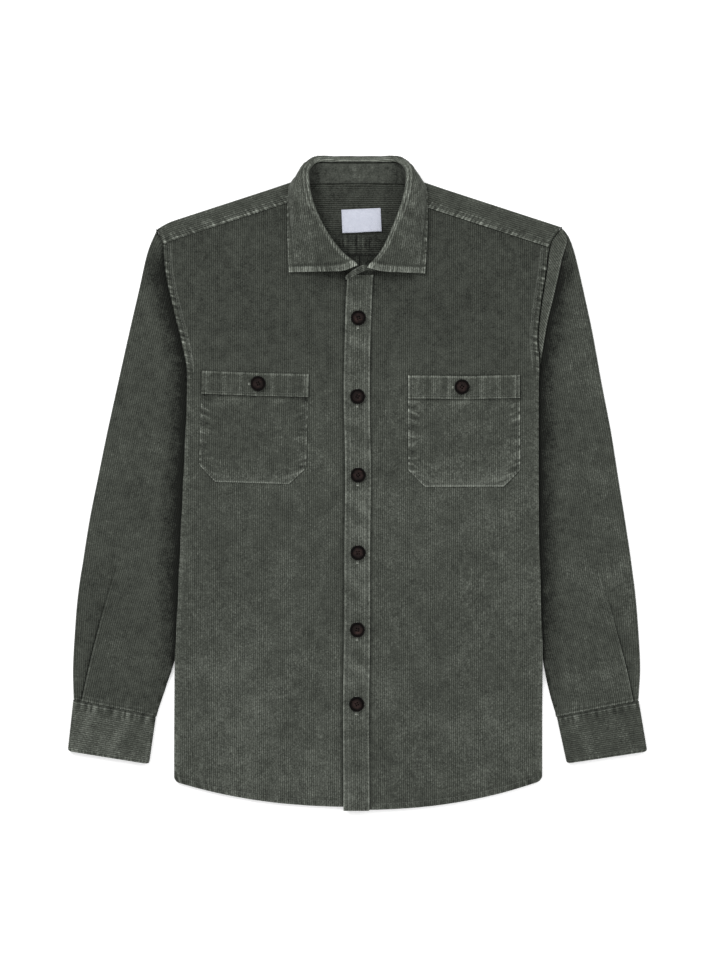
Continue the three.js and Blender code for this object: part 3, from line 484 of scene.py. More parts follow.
def make_back():
    halves = []
    for side in ("left", "right"):
        sign = SIGN[side]
        across = np.arange(0, 240 / STEP) * STEP
        shares = np.concatenate([sampled(660, 9.0)[:-1], 1 - np.array([8.6, 7.6, 6.8, 5, 3, 1.5, 0.6, 0]) / 655])

        def top_y(x):
            return YOKE_SEAM_Y - SEAM_GAP + 0 * x

        def bottom_y(x, side=side):
            low, rise = HEM["right"]
            turned_in = clamp(np.abs(x) - reach(side, -350.0) + HEM_CORNER - 0.4, 0, HEM_CORNER)
            corner = HEM_CORNER - np.sqrt(HEM_CORNER**2 - turned_in**2)
            return low + 2 + rise * (clamp(np.abs(x), 0, 222) / 215) ** 2.25 + corner

        def surface(x, y, side=side, sign=sign):
            return front_top(side, sign * np.maximum(np.abs(x), 60), y)

        def under(x, y, side=side):
            return lift(side, x, y)

        x, y, drop, quarter = panel_places(side, across, shares, top_y, bottom_y, lambda y: 0 * y, surface, under)
        to_side = reach(side, y) - np.abs(x)
        to_hem = y - bottom_y(x)
        armhole = ease(122, 138, y)
        down = slope_normal(under, x, y) * -1.0
        outward = np.stack([np.full_like(x, sign), 0 * x, 0 * x], axis=-1)
        normal = down * np.cos(quarter[..., None]) + outward * np.sin(quarter[..., None])
        crease = np.abs(crease_depth("back", x, y))
        seam = ticks(y, 4.0 + sign, 9.0) * ease(12, 1, to_side)
        stitched = 0.35 * beside(to_hem - 6.8, 1.2) + armhole * 0.35 * beside(to_side - 6.6, 1.2)
        pleat = 0.9 * beside(np.abs(x) - 16, 2.2) * ease(60, 250, y)
        z = under(x, y) + drop + crease + stitched + pleat + 0.18 * (1 + seam) * armhole * ease(12, 1, to_side)
        wear_and_shading = armhole * (0.3 * beside(to_side - 2.2, 2.2) + 0.2 * seam) + 0.3 * beside(to_hem, 2.2)
        # Painted highlight and painted shade along the centre pleat's folds
        wear_and_shading = wear_and_shading + 0.22 * beside(np.abs(x) - 17.5, 1.6) * ease(60, 250, y) - 0.3 * beside(np.abs(x) - 15.4, 1.4) * ease(60, 250, y)
        # Darker towards the yoke, with painted shade at the yoke seam
        wear_and_shading = wear_and_shading - 0.1 * ease(60, 260, y) - 0.2 * beside(y - YOKE_SEAM_Y, 2)
        halves.append([np.stack([x, y, z], axis=-1), normal, x, y, wear_and_shading])
    base, normal, across, along, wear_and_shading = (
        np.concatenate([left[:, ::-1], right[:, 1:]], axis=1) for left, right in zip(*halves)
    )
    # The inside seen in the neck: painted shade that deepens towards the yoke, and a painted dark slit at the centre
    # pleat
    shade = wear_and_shading - 1.5 * beside(across - 2.6, 1.4) * ease(250, 262, along) - 0.55 * ease(244, 262, along)
    centre_fold = np.abs(across[0]) < 7
    to_hem = along - (HEM["right"][0] + 2 + HEM["right"][1] * (clamp(np.abs(across), 0, 222) / 215) ** 2.25)
    return solid_cloth("back", base, normal, across, along, wear_and_shading, edge=np.maximum(to_hem, 0), close=centre_fold, inside_wear_and_shading=shade)


# The button band and the pockets lie on the fronts
def placket_top(x, y):
    return front_top("left", np.minimum(x, 14), y) + SEAM_GAP + DOUBLE + 0.15


def make_placket():
    off = np.concatenate([[-15.5, -15.2, -14.7], np.arange(-14 / STEP, 14 / STEP + 1) * STEP, [14.7, 15.2, 15.5]])
    y = np.linspace(249, -392.4, 260)[:, None] + 0 * off[None, :]
    bottom_curl = 0.6 * np.sin(y / 47)
    x = follow(PLACKET_MIDDLE, y, "x") + off[None, :] + 0.35 * np.sin(y / 31 + 1) + 0.1 * bottom_curl
    off = off[None, :] + 0 * y
    to_edge = 15.5 - np.abs(off)
    to_end = np.minimum(249 - y, y + 392.4)
    right_edge = off > 0
    tick = np.where(right_edge, ticks(y, 1.2, 7.2), ticks(y, 6.4, 8.4))
    pull = sum(np.exp(-(((y - at) / 15) ** 2)) for at in FRONT_BUTTON_Y)
    between = sum(np.exp(-(((y - at - 47) / 19) ** 2)) for at in FRONT_BUTTON_Y)
    z = placket_top(x, y) + 0.5 * ease(0, 2.5, to_edge) + 0.3 * pull
    z = z + 0.28 * tick * ease(8, 1.5, to_edge) - 0.4 * beside(to_edge - 4.2, 1.1)
    z = z + 0.25 * between * np.sin(y / 5.2 + off / 6) + 0.25 * wander(y, 4.1, 57)
    wear_and_shading = 0.07 + 0.42 * beside(to_edge - 0.4, 2.3) + 0.16 * tick * ease(7, 1, to_edge)
    # Painted shade in the sunken stitch line, with a paler line beyond it
    wear_and_shading = wear_and_shading - 0.16 * beside(to_edge - 4.3, 1.1) + 0.14 * beside(to_edge - 6.6, 1.6)
    # Painted light and shade on the wrinkles between the buttons, following their bumps; the ends worn paler
    wear_and_shading = wear_and_shading + 0.06 * wander(y, 7.7, 44) + 0.1 * between * np.sin(y / 5.2 + off / 6) + 0.3 * beside(to_end, 2)
    wear_and_shading = wear_and_shading - 0.1 * ease(100, 250, y)
    base = np.stack([x, y, z], axis=-1)
    normal = slope_normal(placket_top, x, y)
    edge = np.minimum(to_edge, to_end)
    return solid_cloth("placket", base, normal, x, y, wear_and_shading, thick=DOUBLE, edge=edge)


def pocket_place(side, across, down):
    """The x and y of a pocket's point, given across its width and down from its top."""
    pocket = POCKETS[side]
    x = pocket["x"] + across * math.cos(pocket["tilt"]) + down * math.sin(pocket["tilt"])
    y = pocket["y"] + across * math.sin(pocket["tilt"]) - down * math.cos(pocket["tilt"])
    return x, y


def pocket_half_width(side, down):
    pocket = POCKETS[side]
    return pocket["width"] / 2 - POCKET_CORNER * clamp((down - pocket["height"] + POCKET_CORNER) / POCKET_CORNER, 0, 1)


def rounded_columns(half):
    """Columns across a piece: one for each quarter wale, and a few more at its two edges."""
    inner = np.arange(-math.floor((half - 1.2) / STEP), math.floor((half - 1.2) / STEP) + 1) * STEP
    return np.concatenate([[-1e3 - half, -half + 0.3, -half + 0.8], inner, [half - 0.8, half - 0.3, 1e3 + half]])


def make_pocket(side):
    pocket = POCKETS[side]
    height = pocket["height"]
    rows = np.concatenate([np.arange(0, height - 4, 3.2), height - np.array([3, 1.8, 1, 0.4, 0])])
    down = rows[:, None]
    half = pocket_half_width(side, down)
    across = clamp(rounded_columns(pocket["width"] / 2)[None, :], -half, half)
    down = down + 0 * across
    half = half + 0 * across
    x, y = pocket_place(side, across, down)
    to_edge = np.minimum(half - np.abs(across), height - down)
    seed = 1.7 if side == "left" else 4.9
    flank = ticks(down, seed + np.sign(across), 11.5) * ease(17, 3, half - np.abs(across)) * ease(height, height - 24, down)
    puff = ease(0.5, 0.28, np.abs(across) / pocket["width"]) * ease(height, height - 25, down)
    puff = puff * ease(POCKET_BAND, POCKET_BAND + 17, down)
    under_band = ease(POCKET_BAND - 4, POCKET_BAND + 2, down) * ease(POCKET_BAND + 16, POCKET_BAND + 3, down)
    sag = under_band * np.sin(across / 9.5 + seed) * 0.35
    bulge = (SEAM_GAP + 0.15 + CLOTH) + 1.0 * puff + (0.55 * flank + sag) * ease(POCKET_BAND - 2, POCKET_BAND + 8, down)
    turned = 0.45 * ease(11, 9, height - down) * ease(0, 3, height - down)
    z = front_top(side, x, y) + bulge + turned + 0.25 * wander(across + 0.5 * down, seed, 37)
    wear_and_shading = (0.06 if side == "left" else -0.05) + 0.42 * beside(to_edge - 0.7, 1.7)
    straight = ease(height - POCKET_CORNER, height - POCKET_CORNER - 6, down)
    # Painted shade down the pocket's two straight sides
    wear_and_shading = wear_and_shading - 0.5 * beside(half - np.abs(across), 0.6) * straight
    # Pucker ridges worn paler and their dimples darker as painted shade; painted shade in the sunken stitch line
    wear_and_shading = wear_and_shading + 0.2 * np.maximum(flank, 0) + 0.6 * np.minimum(flank, 0) - 0.25 * beside(to_edge - 3.6, 1.1)
    # Painted light and shade on the sag under the band, and the band's painted shadow across the pocket
    wear_and_shading = wear_and_shading + 0.15 * (sag / 0.35) * under_band - 0.7 * ease(POCKET_BAND + 4.5, POCKET_BAND, down)
    wear_and_shading = wear_and_shading + 0.1 * ease(height - 45, height - 10, down)
    wear_and_shading = wear_and_shading + 0.06 * wander(across * 0.2 + down, seed + 2, 33) - 0.06 * puff
    base = np.stack([x, y, z], axis=-1)
    normal = slope_normal(lambda x, y: front_top(side, x, y), x, y)
    pull = 0.5 * ease(18, 3, half - np.abs(across)) * ease(POCKET_BAND, POCKET_BAND + 6, down)
    run = 1.2 * down + 0.5 * np.abs(across)
    return solid_cloth(f"pocket_{side}", base, normal, across, down, wear_and_shading, edge=to_edge, run=run, pull=pull)


def band_top(side, x, y):
    return front_top(side, x, y) + 0.45 + SEAM_GAP + 2 * CLOTH + 0.2


def make_pocket_band(side):
    pocket = POCKETS[side]
    half = pocket["width"] / 2
    rows = np.array([0, 0.3, 0.9, 1.8, 4, 7, 10, 13, 16, 19, 21.5, 23.5, 25, 26, 27, 27.6, 28])
    down = rows[:, None]
    across = clamp(rounded_columns(half)[None, :], -half, half) + 0 * down
    down = down + 0 * across
    seed = 2.2 if side == "left" else 5.5
    sag = 0.9 * np.exp(-(((across - 3) / 34) ** 2)) * (1 if side == "left" else 0.4)
    x, y = pocket_place(side, across, down + sag)
    to_side = half - np.abs(across)
    to_edge = np.minimum(to_side, np.minimum(down, POCKET_BAND - down))
    dent = 0.35 * np.exp(-(((across - 2) / 13) ** 2))
    tick = ticks(down, seed + np.sign(across), 9.0) * ease(13, 2, to_side)
    z = band_top(side, x, y) - dent + 0.25 * tick + 0.35 * wander(across, seed, 49) * ease(0, 12, down)
    z = z - 0.35 * beside(to_side - 4, 1.1) - 0.35 * beside(POCKET_BAND - 3.2 - down, 1.1)
    wear_and_shading = (0.02 if side == "left" else -0.1) + 0.2 * beside(to_side - 5.6, 1.2) + 0.5 * beside(to_side - 1.3, 1.4)
    # Edges worn paler, with painted shade along the band's sides and top
    wear_and_shading = wear_and_shading + 0.4 * beside(down - 1.5, 1.3) + 0.42 * beside(POCKET_BAND - down, 1.8) - 0.6 * beside(np.minimum(to_side, down), 0.6)
    # Puckers paler and darker, and painted shade in the sunken stitch lines
    wear_and_shading = wear_and_shading + 0.14 * tick - 0.16 * beside(to_side - 4.2, 1.2) - 0.14 * beside(POCKET_BAND - 3.6 - down, 1.1)
    wear_and_shading = wear_and_shading + 0.16 * wander(across, seed + 1, 19)
    base = np.stack([x, y, z], axis=-1)
    normal = slope_normal(lambda x, y: band_top(side, x, y), x, y)
    return solid_cloth(f"pocket_band_{side}", base, normal, across, down, wear_and_shading, edge=to_edge)


# The yoke goes from its seam with the back, round the shoulder's fold, to its seam with the front
def yoke_raise(x, y):
    return YOKE_RAISED * ease(290, 326, y) * ease(104, 86, np.abs(x))


def yoke_end(x):
    far = np.abs(x)
    back_y = 356 + 3.5 * (far / 50) ** 2
    flat_y = shoulder_y(x) - SIDE_ROUND
    on_back = np.minimum(7, 7 * (back_y - YOKE_SEAM_Y) / (flat_y - YOKE_SEAM_Y))
    return np.where(far >= 68, 16, mix(on_back, 16, ease(54, 68, far)))


def yoke_point(side, share, unit):
    """A point of the yoke's outer side, and the way out there. unit is 0 to 7 on the back, to 12 on the fold, to 16."""
    x = share * reach(side, YOKE_SEAM_Y)
    y = YOKE_SEAM_Y + 0 * x
    for _ in range(6):
        fold_y = shoulder_y(x)
        start = fold_y - SIDE_ROUND
        angle = math.pi * (clamp(unit, 7, 12) / 5 - 1.9)
        y_back = mix(YOKE_SEAM_Y - SEAM_GAP - 0.1, start, clamp(unit, 0, 7) / 7)
        y_fold = start + SIDE_ROUND * np.cos(angle)
        y_front = mix(start, fold_y - YOKE_DROP[side] + SEAM_GAP, (clamp(unit, 12, 16) - 12) / 4)
        y = np.where(unit <= 7, y_back, np.where(unit <= 12, y_fold, y_front))
        x = share * reach(side, y)
    low = yoke_raise(x, start)
    z_fold = mix(low, SHOULDER_HEIGHT, (1 + np.sin(angle)) / 2)
    z = np.where(unit <= 7, yoke_raise(x, y), np.where(unit <= 12, z_fold, body_top(side, x, y)))
    slant = 0.31 * np.sign(x)
    ny = np.where(unit <= 7, 0, np.where(unit <= 12, np.cos(angle), 0))
    nz = np.where(unit <= 7, -1, np.where(unit <= 12, np.sin(angle), 1))
    normal = np.stack([ny * slant, ny, nz], axis=-1)
    return np.stack([x, y, z], axis=-1), normal / np.linalg.norm(normal, axis=-1, keepdims=True)


def make_yoke():
    halves = []
    for side in ("right", "left"):
        sign = SIGN[side]
        far = np.concatenate([np.arange(0, 44, 5.5), np.arange(44, 76, 1.0), np.arange(76, 216, 6.0), np.arange(216, 233, 2.0)])
        share = sign * far[None, :] / 232.0
        back = np.arange(0, 92 / STEP) * STEP
        flat = shoulder_y(share * 232) - SIDE_ROUND - YOKE_SEAM_Y
        units = [7 * clamp(back[:, None] / flat, 0, 1)]
        units.append(np.linspace(7, 12, 13)[1:, None] + 0 * share)
        strip = YOKE_DROP[side] - SIDE_ROUND
        front = np.append(np.arange(0, 30 / STEP)[1:] * STEP, 30)
        units.append(12 + 4 * clamp(front[:, None] / strip, 0, 1) + 0 * share)
        unit = np.minimum(np.concatenate(units), yoke_end(share * reach(side, YOKE_SEAM_Y + 60)))
        base, normal = yoke_point(side, share + 0 * unit, unit)
        x, y, z = base[..., 0], base[..., 1], base[..., 2]
        on_front = unit > 12
        down_strip = (unit - 12) / 4 * strip
        across = np.where(unit <= 7, y, shoulder_y(x) - y + 500)
        to_seam = strip - down_strip
        to_arm = reach(side, y) - np.abs(x)
        tick = ticks(x, 3.3 + sign, 7.5)
        pucker = tick * ease(17, 3, to_seam) * ease(12, 12.6, unit)
        arm = ticks(y, 1.1 + sign, 7) * ease(12, 1, to_arm)
        rise = np.where(on_front, 0.55 * ease(9, 6, to_seam) - 0.4 * beside(to_seam - 5.6, 1.2) + 0.38 * pucker, 0)
        base[..., 2] = z + rise * ease(12, 12.8, unit)
        # Seam ridges worn paler, with painted shade in the sunken stitching
        wear_and_shading = np.where(on_front, -0.02 + 0.3 * beside(to_seam - 2, 2.4) - 0.3 * beside(to_seam - 5.6, 1.3), 0)
        bead = ticks(x, 7.7 + sign, 3.6) * beside(to_seam - 2, 3.2) * on_front
        wear_and_shading = wear_and_shading + 0.2 * pucker + 0.2 * bead + 0.1 * beside(to_seam - 8, 2) * on_front + 0.2 * arm
        # Painted shade on the shoulder fold's upright side, at the armhole end, and on the edge wall by the back seam
        wear_and_shading = wear_and_shading - 0.1 * beside(unit - 9.5, 2.5) - 0.5 * beside(to_arm, 1.6) - 0.9 * ease(0.12, 0, unit)
        # On the front, a paler line and painted shade in the sunken stitching by the armhole
        wear_and_shading = wear_and_shading + on_front * (0.22 * beside(to_arm - 4, 1.8) - 0.45 * beside(to_arm - 7, 1.4) - 0.05)
        pull = np.where(on_front, 0.8 * ease(14, 2, to_seam), 0)
        halves.append([base, normal, across, x, wear_and_shading, unit, 1.8 * x - 1.1 * sign * to_seam, pull])
    right, left = halves
    joined = []
    for one, other in zip(right, left):
        joined.append(np.concatenate([one[:, ::-1], other[:, 1:]], axis=1))
    base, normal, across, along, wear_and_shading, unit, run, pull = joined
    below_label = beside(base[..., 1] - 289, 13) * ease(26, 15, np.abs(base[..., 0])) * (unit < 7)
    pull = pull + 1.8 * below_label
    run = np.where(unit < 7, 1.5 * along, run)
    # Its inside, seen in the neck, is darkened all over as painted shade, with the wales drawn in and puckers near the
    # seam
    inside = -0.42 - 0.15 * np.cos(2 * math.pi * base[..., 1] / WALE) + 0.16 * ticks(along, 8.1, 9.0) * ease(YOKE_SEAM_Y + 26, YOKE_SEAM_Y + 4, base[..., 1])
    # Painted shade at the seam's edge and below the label
    inside = inside - 0.9 * ease(YOKE_SEAM_Y + 2.2, YOKE_SEAM_Y, base[..., 1])
    inside = inside - 0.2 * ease(YOKE_SEAM_Y + 34, YOKE_SEAM_Y + 14, base[..., 1])
    return solid_cloth(
        "yoke", base, normal, across, along, wear_and_shading, every=1, inside_wear_and_shading=inside, wale_inside=True, run=run, pull=pull
    )


# The sleeves are flattened tubes
def sleeve_line(side):
    """Points along the fold on the outside of the arm, every millimetre or so, and the way across the sleeve there."""
    spots = np.array(SLEEVE_OUT[side], float)
    spots = np.vstack([2 * spots[0] - spots[1], spots, 2 * spots[-1] - spots[-2]])
    line = []
    for k in range(1, len(spots) - 2):
        p0, p1, p2, p3 = spots[k - 1 : k + 3]
        for t in np.linspace(0, 1, 50, endpoint=False):
            line.append(0.5 * (2 * p1 + (p2 - p0) * t + (2 * p0 - 5 * p1 + 4 * p2 - p3) * t**2 + (3 * p1 - p0 - 3 * p2 + p3) * t**3))
    line = np.array(line)
    tail = line[-1] + np.outer(np.arange(1, 40), (line[-1] - line[-2]) / np.linalg.norm(line[-1] - line[-2]))
    line = np.vstack([line, tail])
    length = np.concatenate([[0], np.cumsum(np.linalg.norm(np.diff(line, axis=0), axis=1))])
    lean = mix(0.26, 0.04, ease(0, 430, length))
    inward = np.stack([-np.cos(lean), -np.sin(lean)], axis=1)
    return line, length, inward


def sleeve_top(side, x, y, from_fold):
    """The height of a sleeve's upper side."""
    outside = np.abs(x) - reach(side, y)
    full = mix(TUCKED_HEIGHT, SLEEVE_HEIGHT, ease(2, 34, outside))
    to_cuff = ease(-215, -262, y + (np.abs(x) - 290) * 0.19)
    return mix(full, CUFF_HEIGHT - 1.8, to_cuff) + 0.3 * np.sin(y / 37 + np.abs(x) / 22) + 0 * from_fold


def sleeve_places(side, wanted, shares):
    """Places on a sleeve: its outer fold, its length and the way in, its width, the distances in that were tried, and
    how far along the fold the cuff begins for each. wanted and shares are not used.
    """
    line, length, inward = sleeve_line(side)
    cuff = CUFFS[side]
    out, into = np.array(cuff["top_out"]), np.array(cuff["top_in"])
    cut = into - out
    offsets = np.linspace(0, 175, 351)
    spots = line[:, None, :] + offsets[None, :, None] * inward[:, None, :]
    inner = np.where(
        spots[..., 1] > ARMHOLE_FOOT_Y,
        reach(side, spots[..., 1]) + ARMHOLE_GAP,
        follow(SLEEVE_IN[side], spots[..., 1], "x"),
    )
    outside = spots[..., 0] > inner
    width = offsets[np.argmin(outside, axis=1)]
    width = np.where(outside.all(axis=1), offsets[-1], width)
    smooth = np.convolve(np.pad(width, 6, mode="edge"), np.ones(13) / 13, mode="valid")
    beyond = (spots[..., 0] - out[0]) * cut[1] - (spots[..., 1] - out[1]) * cut[0]
    end = length[np.argmax(beyond < 0.4 * np.linalg.norm(cut), axis=0)]
    return line, length, inward, smooth, offsets, end


def make_sleeve(side):
    sign = SIGN[side]
    pleat = PLEAT[side]
    line, length, inward, width, offsets, end = sleeve_places(side, None, None)
    start_inset = pleat["inset"][-1]
    fine = np.arange(0, 178 / STEP) * STEP
    turn = np.array([1.5, 1.25, 1.0, 0.75, 0.5, 0.25])
    # Columns: round the outer fold, the strip outside the pleat, the main sheet, and round the tucked fold
    strip = fine[(fine > 4) & (fine < start_inset - 0.2)]
    sheet = fine[fine > start_inset + 0.2]
    columns = np.concatenate([np.zeros(len(turn)), strip, [start_inset, start_inset], sheet, np.full(len(turn), 1e4)])
    kind = np.concatenate([np.zeros(len(turn)), np.zeros(len(strip) + 1), np.ones(len(sheet) + 1), np.ones(len(turn))])
    q_out = np.concatenate([turn, np.zeros(len(columns) - len(turn))])
    q_in = np.concatenate([np.zeros(len(columns) - len(turn)), turn[::-1]])
    shares = np.concatenate([[0, 0.002, 0.006], np.linspace(0.012, 0.6, 42), np.linspace(0.612, 0.984, 34)])
    shares = np.append(shares, np.linspace(0.9866, 1, 6))
    nominal = columns[None, :] + 0 * shares[:, None]
    at = shares[:, None] * length[-1] * 0.9 + 0 * nominal
    place = clamp(nominal, 0, 100)
    inset = np.full_like(nominal, float(start_inset))
    for _ in range(10):
        y_out = np.interp(at, length, line[:, 1])
        inset = follow(pleat, clamp(y_out, -262, pleat["y"][-1]), "inset")
        inset = np.where(y_out > pleat["y"][-1], start_inset, inset)
        shifted = np.where(kind[None, :] > 0, nominal - (start_inset - inset), nominal * inset / start_inset)
        across_width = np.interp(at, length, width)
        fold = ease(150, 118, np.interp(at, length, line[:, 1]) - 0.55 * across_width + 40)
        round_in = mix(1.6, 4.5, fold)
        flat = clamp(shifted, 4.5, across_width - round_in)
        place = flat - 4.5 * np.sin(q_out)[None, :] + round_in * np.sin(q_in)[None, :]
        place = np.where(q_out[None, :] > 0, 4.5 - 4.5 * np.sin(q_out)[None, :], place)
        place = np.minimum(place, np.maximum(across_width, 0))
        at = shares[:, None] * np.interp(place, offsets, end)
    foot = np.stack([np.interp(at, length, line[:, k]) for k in (0, 1)], axis=-1)
    way = np.stack([np.interp(at, length, inward[:, k]) for k in (0, 1)], axis=-1)
    spot = foot + place[..., None] * way
    x, y = spot[..., 0], spot[..., 1]
    top = sleeve_top(side, x, y, place)
    step = np.where(y_out > pleat["y"][-1], 0, follow(pleat, clamp(y_out, -262, pleat["y"][-1]), "step"))
    strip_low = np.where(kind[None, :] > 0, 0, np.maximum(step, 0))
    lip = 0.5 * np.where(kind[None, :] > 0, step / 2.6, 0) * beside(shifted - inset, 3.5)
    seed = 2.0 if side == "left" else 6.0
    to_cuff = np.interp(place, offsets, end) - at
    tick = ticks(place, seed, 9.5) * ease(22, 3, to_cuff)
    slack = 0.5 * wander(at + 0.6 * place, seed, 83) + 0.3 * wander(place - 0.4 * at, seed + 1, 47)
    elbow = 0.9 * np.exp(-(((at - 300 - 0.3 * place) / 9) ** 2)) * ease(25, 60, place) * ease(130, 90, place)
    upper = top - strip_low + lip + slack * ease(2, 16, place) + 0.35 * tick - elbow - 0.4 * beside(to_cuff - 3.8, 1.2)
    down_out = (upper / 2) * (1 - np.cos(q_out))[None, :]
    down_in = mix(0.9, upper / 2, fold) * (1 - np.cos(q_in))[None, :]
    tucked = ease(4, 0, across_width - place) * ease(2, 9, across_width) * ease(126, 138, y)
    z_top = upper - down_out - down_in - 1.0 * tucked
    up_normal = np.stack([0 * x, 0 * x, np.ones_like(x)], axis=-1)
    out3 = np.stack([-way[..., 0], -way[..., 1], 0 * x], axis=-1)
    qo, qi = q_out[None, :, None], q_in[None, :, None]
    normal_top = up_normal * (np.cos(qo) * np.cos(qi)) + out3 * np.sin(qo) - out3 * np.sin(qi) * fold[..., None]
    z_low = (upper / 2) * (1 - np.cos(q_out))[None, :] + mix(0.3, upper / 2, fold) * (1 - np.cos(q_in))[None, :]
    normal_low = -up_normal * (np.cos(qo) * np.cos(qi)) + out3 * np.sin(qo) - out3 * np.sin(qi) * fold[..., None]
    across = np.where(kind[None, :] > 0, flat + start_inset - inset, place)
    depth = WALE_DEPTH * groove(across) * np.where((kind[None, :] == 0) & (inset < start_inset - 2), 0.2, 1)
    # Painted shade where the outer fold turns down, and a paler line along the pleat's fold
    wear_and_shading = -0.12 * beside(place, 3.0) + 0.4 * np.where(kind[None, :] > 0, np.minimum(step, 2) / 2, 0) * beside(shifted - inset, 2.4)
    in_fold = np.where(kind[None, :] > 0, 0, np.minimum(step, 2) / 2)
    # Painted shadow of the pleat's fold on the strip beneath it, lifted near the cuff
    wear_and_shading = wear_and_shading - 0.85 * in_fold * beside(inset - place, 3.2) - 0.2 * in_fold * ease(14, 2, inset - place)
    wear_and_shading = wear_and_shading + 0.2 * in_fold * ease(-215, -262, y)
    wear_and_shading = wear_and_shading + 0.1 * tick + 0.1 * beside(to_cuff, 2.4) + 0.04 * wander(at, seed, 120)
    # Painted shadow of the body, and of the sleeve head's strip, on the sleeve beside them: broad and near black, with
    # a darker line at their edge
    cover = reach(side, y)
    if side == "left":
        cover = np.where(y > 143, np.maximum(cover, follow(SLEEVE_HEAD, y, "x")), cover)
    beside_body = np.abs(x) - cover
    deep = ease(300, 245, y) * mix(0.45, 1, ease(-260, -60, y))
    wear_and_shading = wear_and_shading - 0.85 * ease(31, 4, beside_body) * deep - 0.45 * ease(11, 0, beside_body) * deep
    wear_and_shading = wear_and_shading - (0.03 if side == "left" else 0.12)
    wear_and_shading = wear_and_shading - 0.25 * beside(beside_body - 1, 3.0)
    # At the cuff seam, paler lines and painted shade in the sunken stitch line
    wear_and_shading = wear_and_shading + 0.3 * beside(to_cuff - 1.6, 1.3) - 0.35 * beside(to_cuff - 3.8, 1.1) + 0.16 * beside(to_cuff - 6, 1.5)
    low_wear = 0.3 * beside(place, 3.5) + 0.2 * beside(to_cuff, 2.4)
    x = sign * x
    normal_top[..., 0] *= sign
    normal_low[..., 0] *= sign
    above, below = np.stack([x - 2.0 * sign * tucked, y, z_top], -1), np.stack([x, y, z_low], -1)
    joined_base = np.concatenate([above, below[:, ::-1]], axis=1)
    joined_normal = np.concatenate([normal_top, normal_low[:, ::-1]], axis=1)
    joined_normal /= np.linalg.norm(joined_normal, axis=-1, keepdims=True) + 1e-9
    both = [np.concatenate([part, part[:, ::-1]], axis=1) for part in (across + 0 * at, at)]
    pile = np.concatenate([depth + 0 * at, (depth + 0 * at)[:, ::-1]], axis=1)
    rub_and_shading = np.concatenate([wear_and_shading, low_wear[:, ::-1]], axis=1)
    return solid_cloth(f"sleeve_{side}", joined_base, joined_normal, both[0], both[1], rub_and_shading, relief=pile, ring=True)


def make_sleeve_head():
    """The pleated strip of sleeve head that stands up beside the armhole, over the sleeve."""
    y = np.linspace(303, 143.5, 110)[:, None]
    share = np.concatenate([np.linspace(0, 0.9, 26), [0.94, 0.97, 0.99, 1.0, 1.0]])[None, :]
    inner = reach("left", y) + ARMHOLE_GAP
    width = np.maximum(follow(SLEEVE_HEAD, y, "x") - inner, 0.6)
    x = inner + share * width
    y = y + 0 * x
    fade = ease(143, 168, y) * mix(0.45, 1, ease(304, 288, y))
    top = sleeve_top("left", x, y, x) + SLEEVE_HEAD_HEIGHT * fade
    fall = np.array([0] * 26 + [0.35, 0.9, 1.7, 2.6, 3.2])[None, :]
    slack = 0.35 * ticks(y, 2.4, 15) * share * (1 - share) * 4
    z = top - fall * fade + slack * fade
    lean = clamp(fall / 3.2, 0, 1) + 0 * y
    normal = np.stack([lean, 0 * y, 1.05 - lean], axis=-1)
    normal /= np.linalg.norm(normal, axis=-1, keepdims=True)
    across = x * 0.82 + y * 0.57
    # A paler line along the outer fold, and painted shade along the inner edge by the armhole
    wear_and_shading = 0.04 + 0.26 * beside(share * width - width + 1.2, 1.6) * fade - 0.3 * beside(share * width, 1.4)
    wear_and_shading = wear_and_shading + 0.12 * ticks(y, 5.4, 8) * ease(8, 1, share * width)
    base = np.stack([x, y, z], axis=-1)
    return solid_cloth("sleeve_head_left", base, normal, across, y, wear_and_shading + 0 * x, thick=1.0, every=4, depth=0.25)


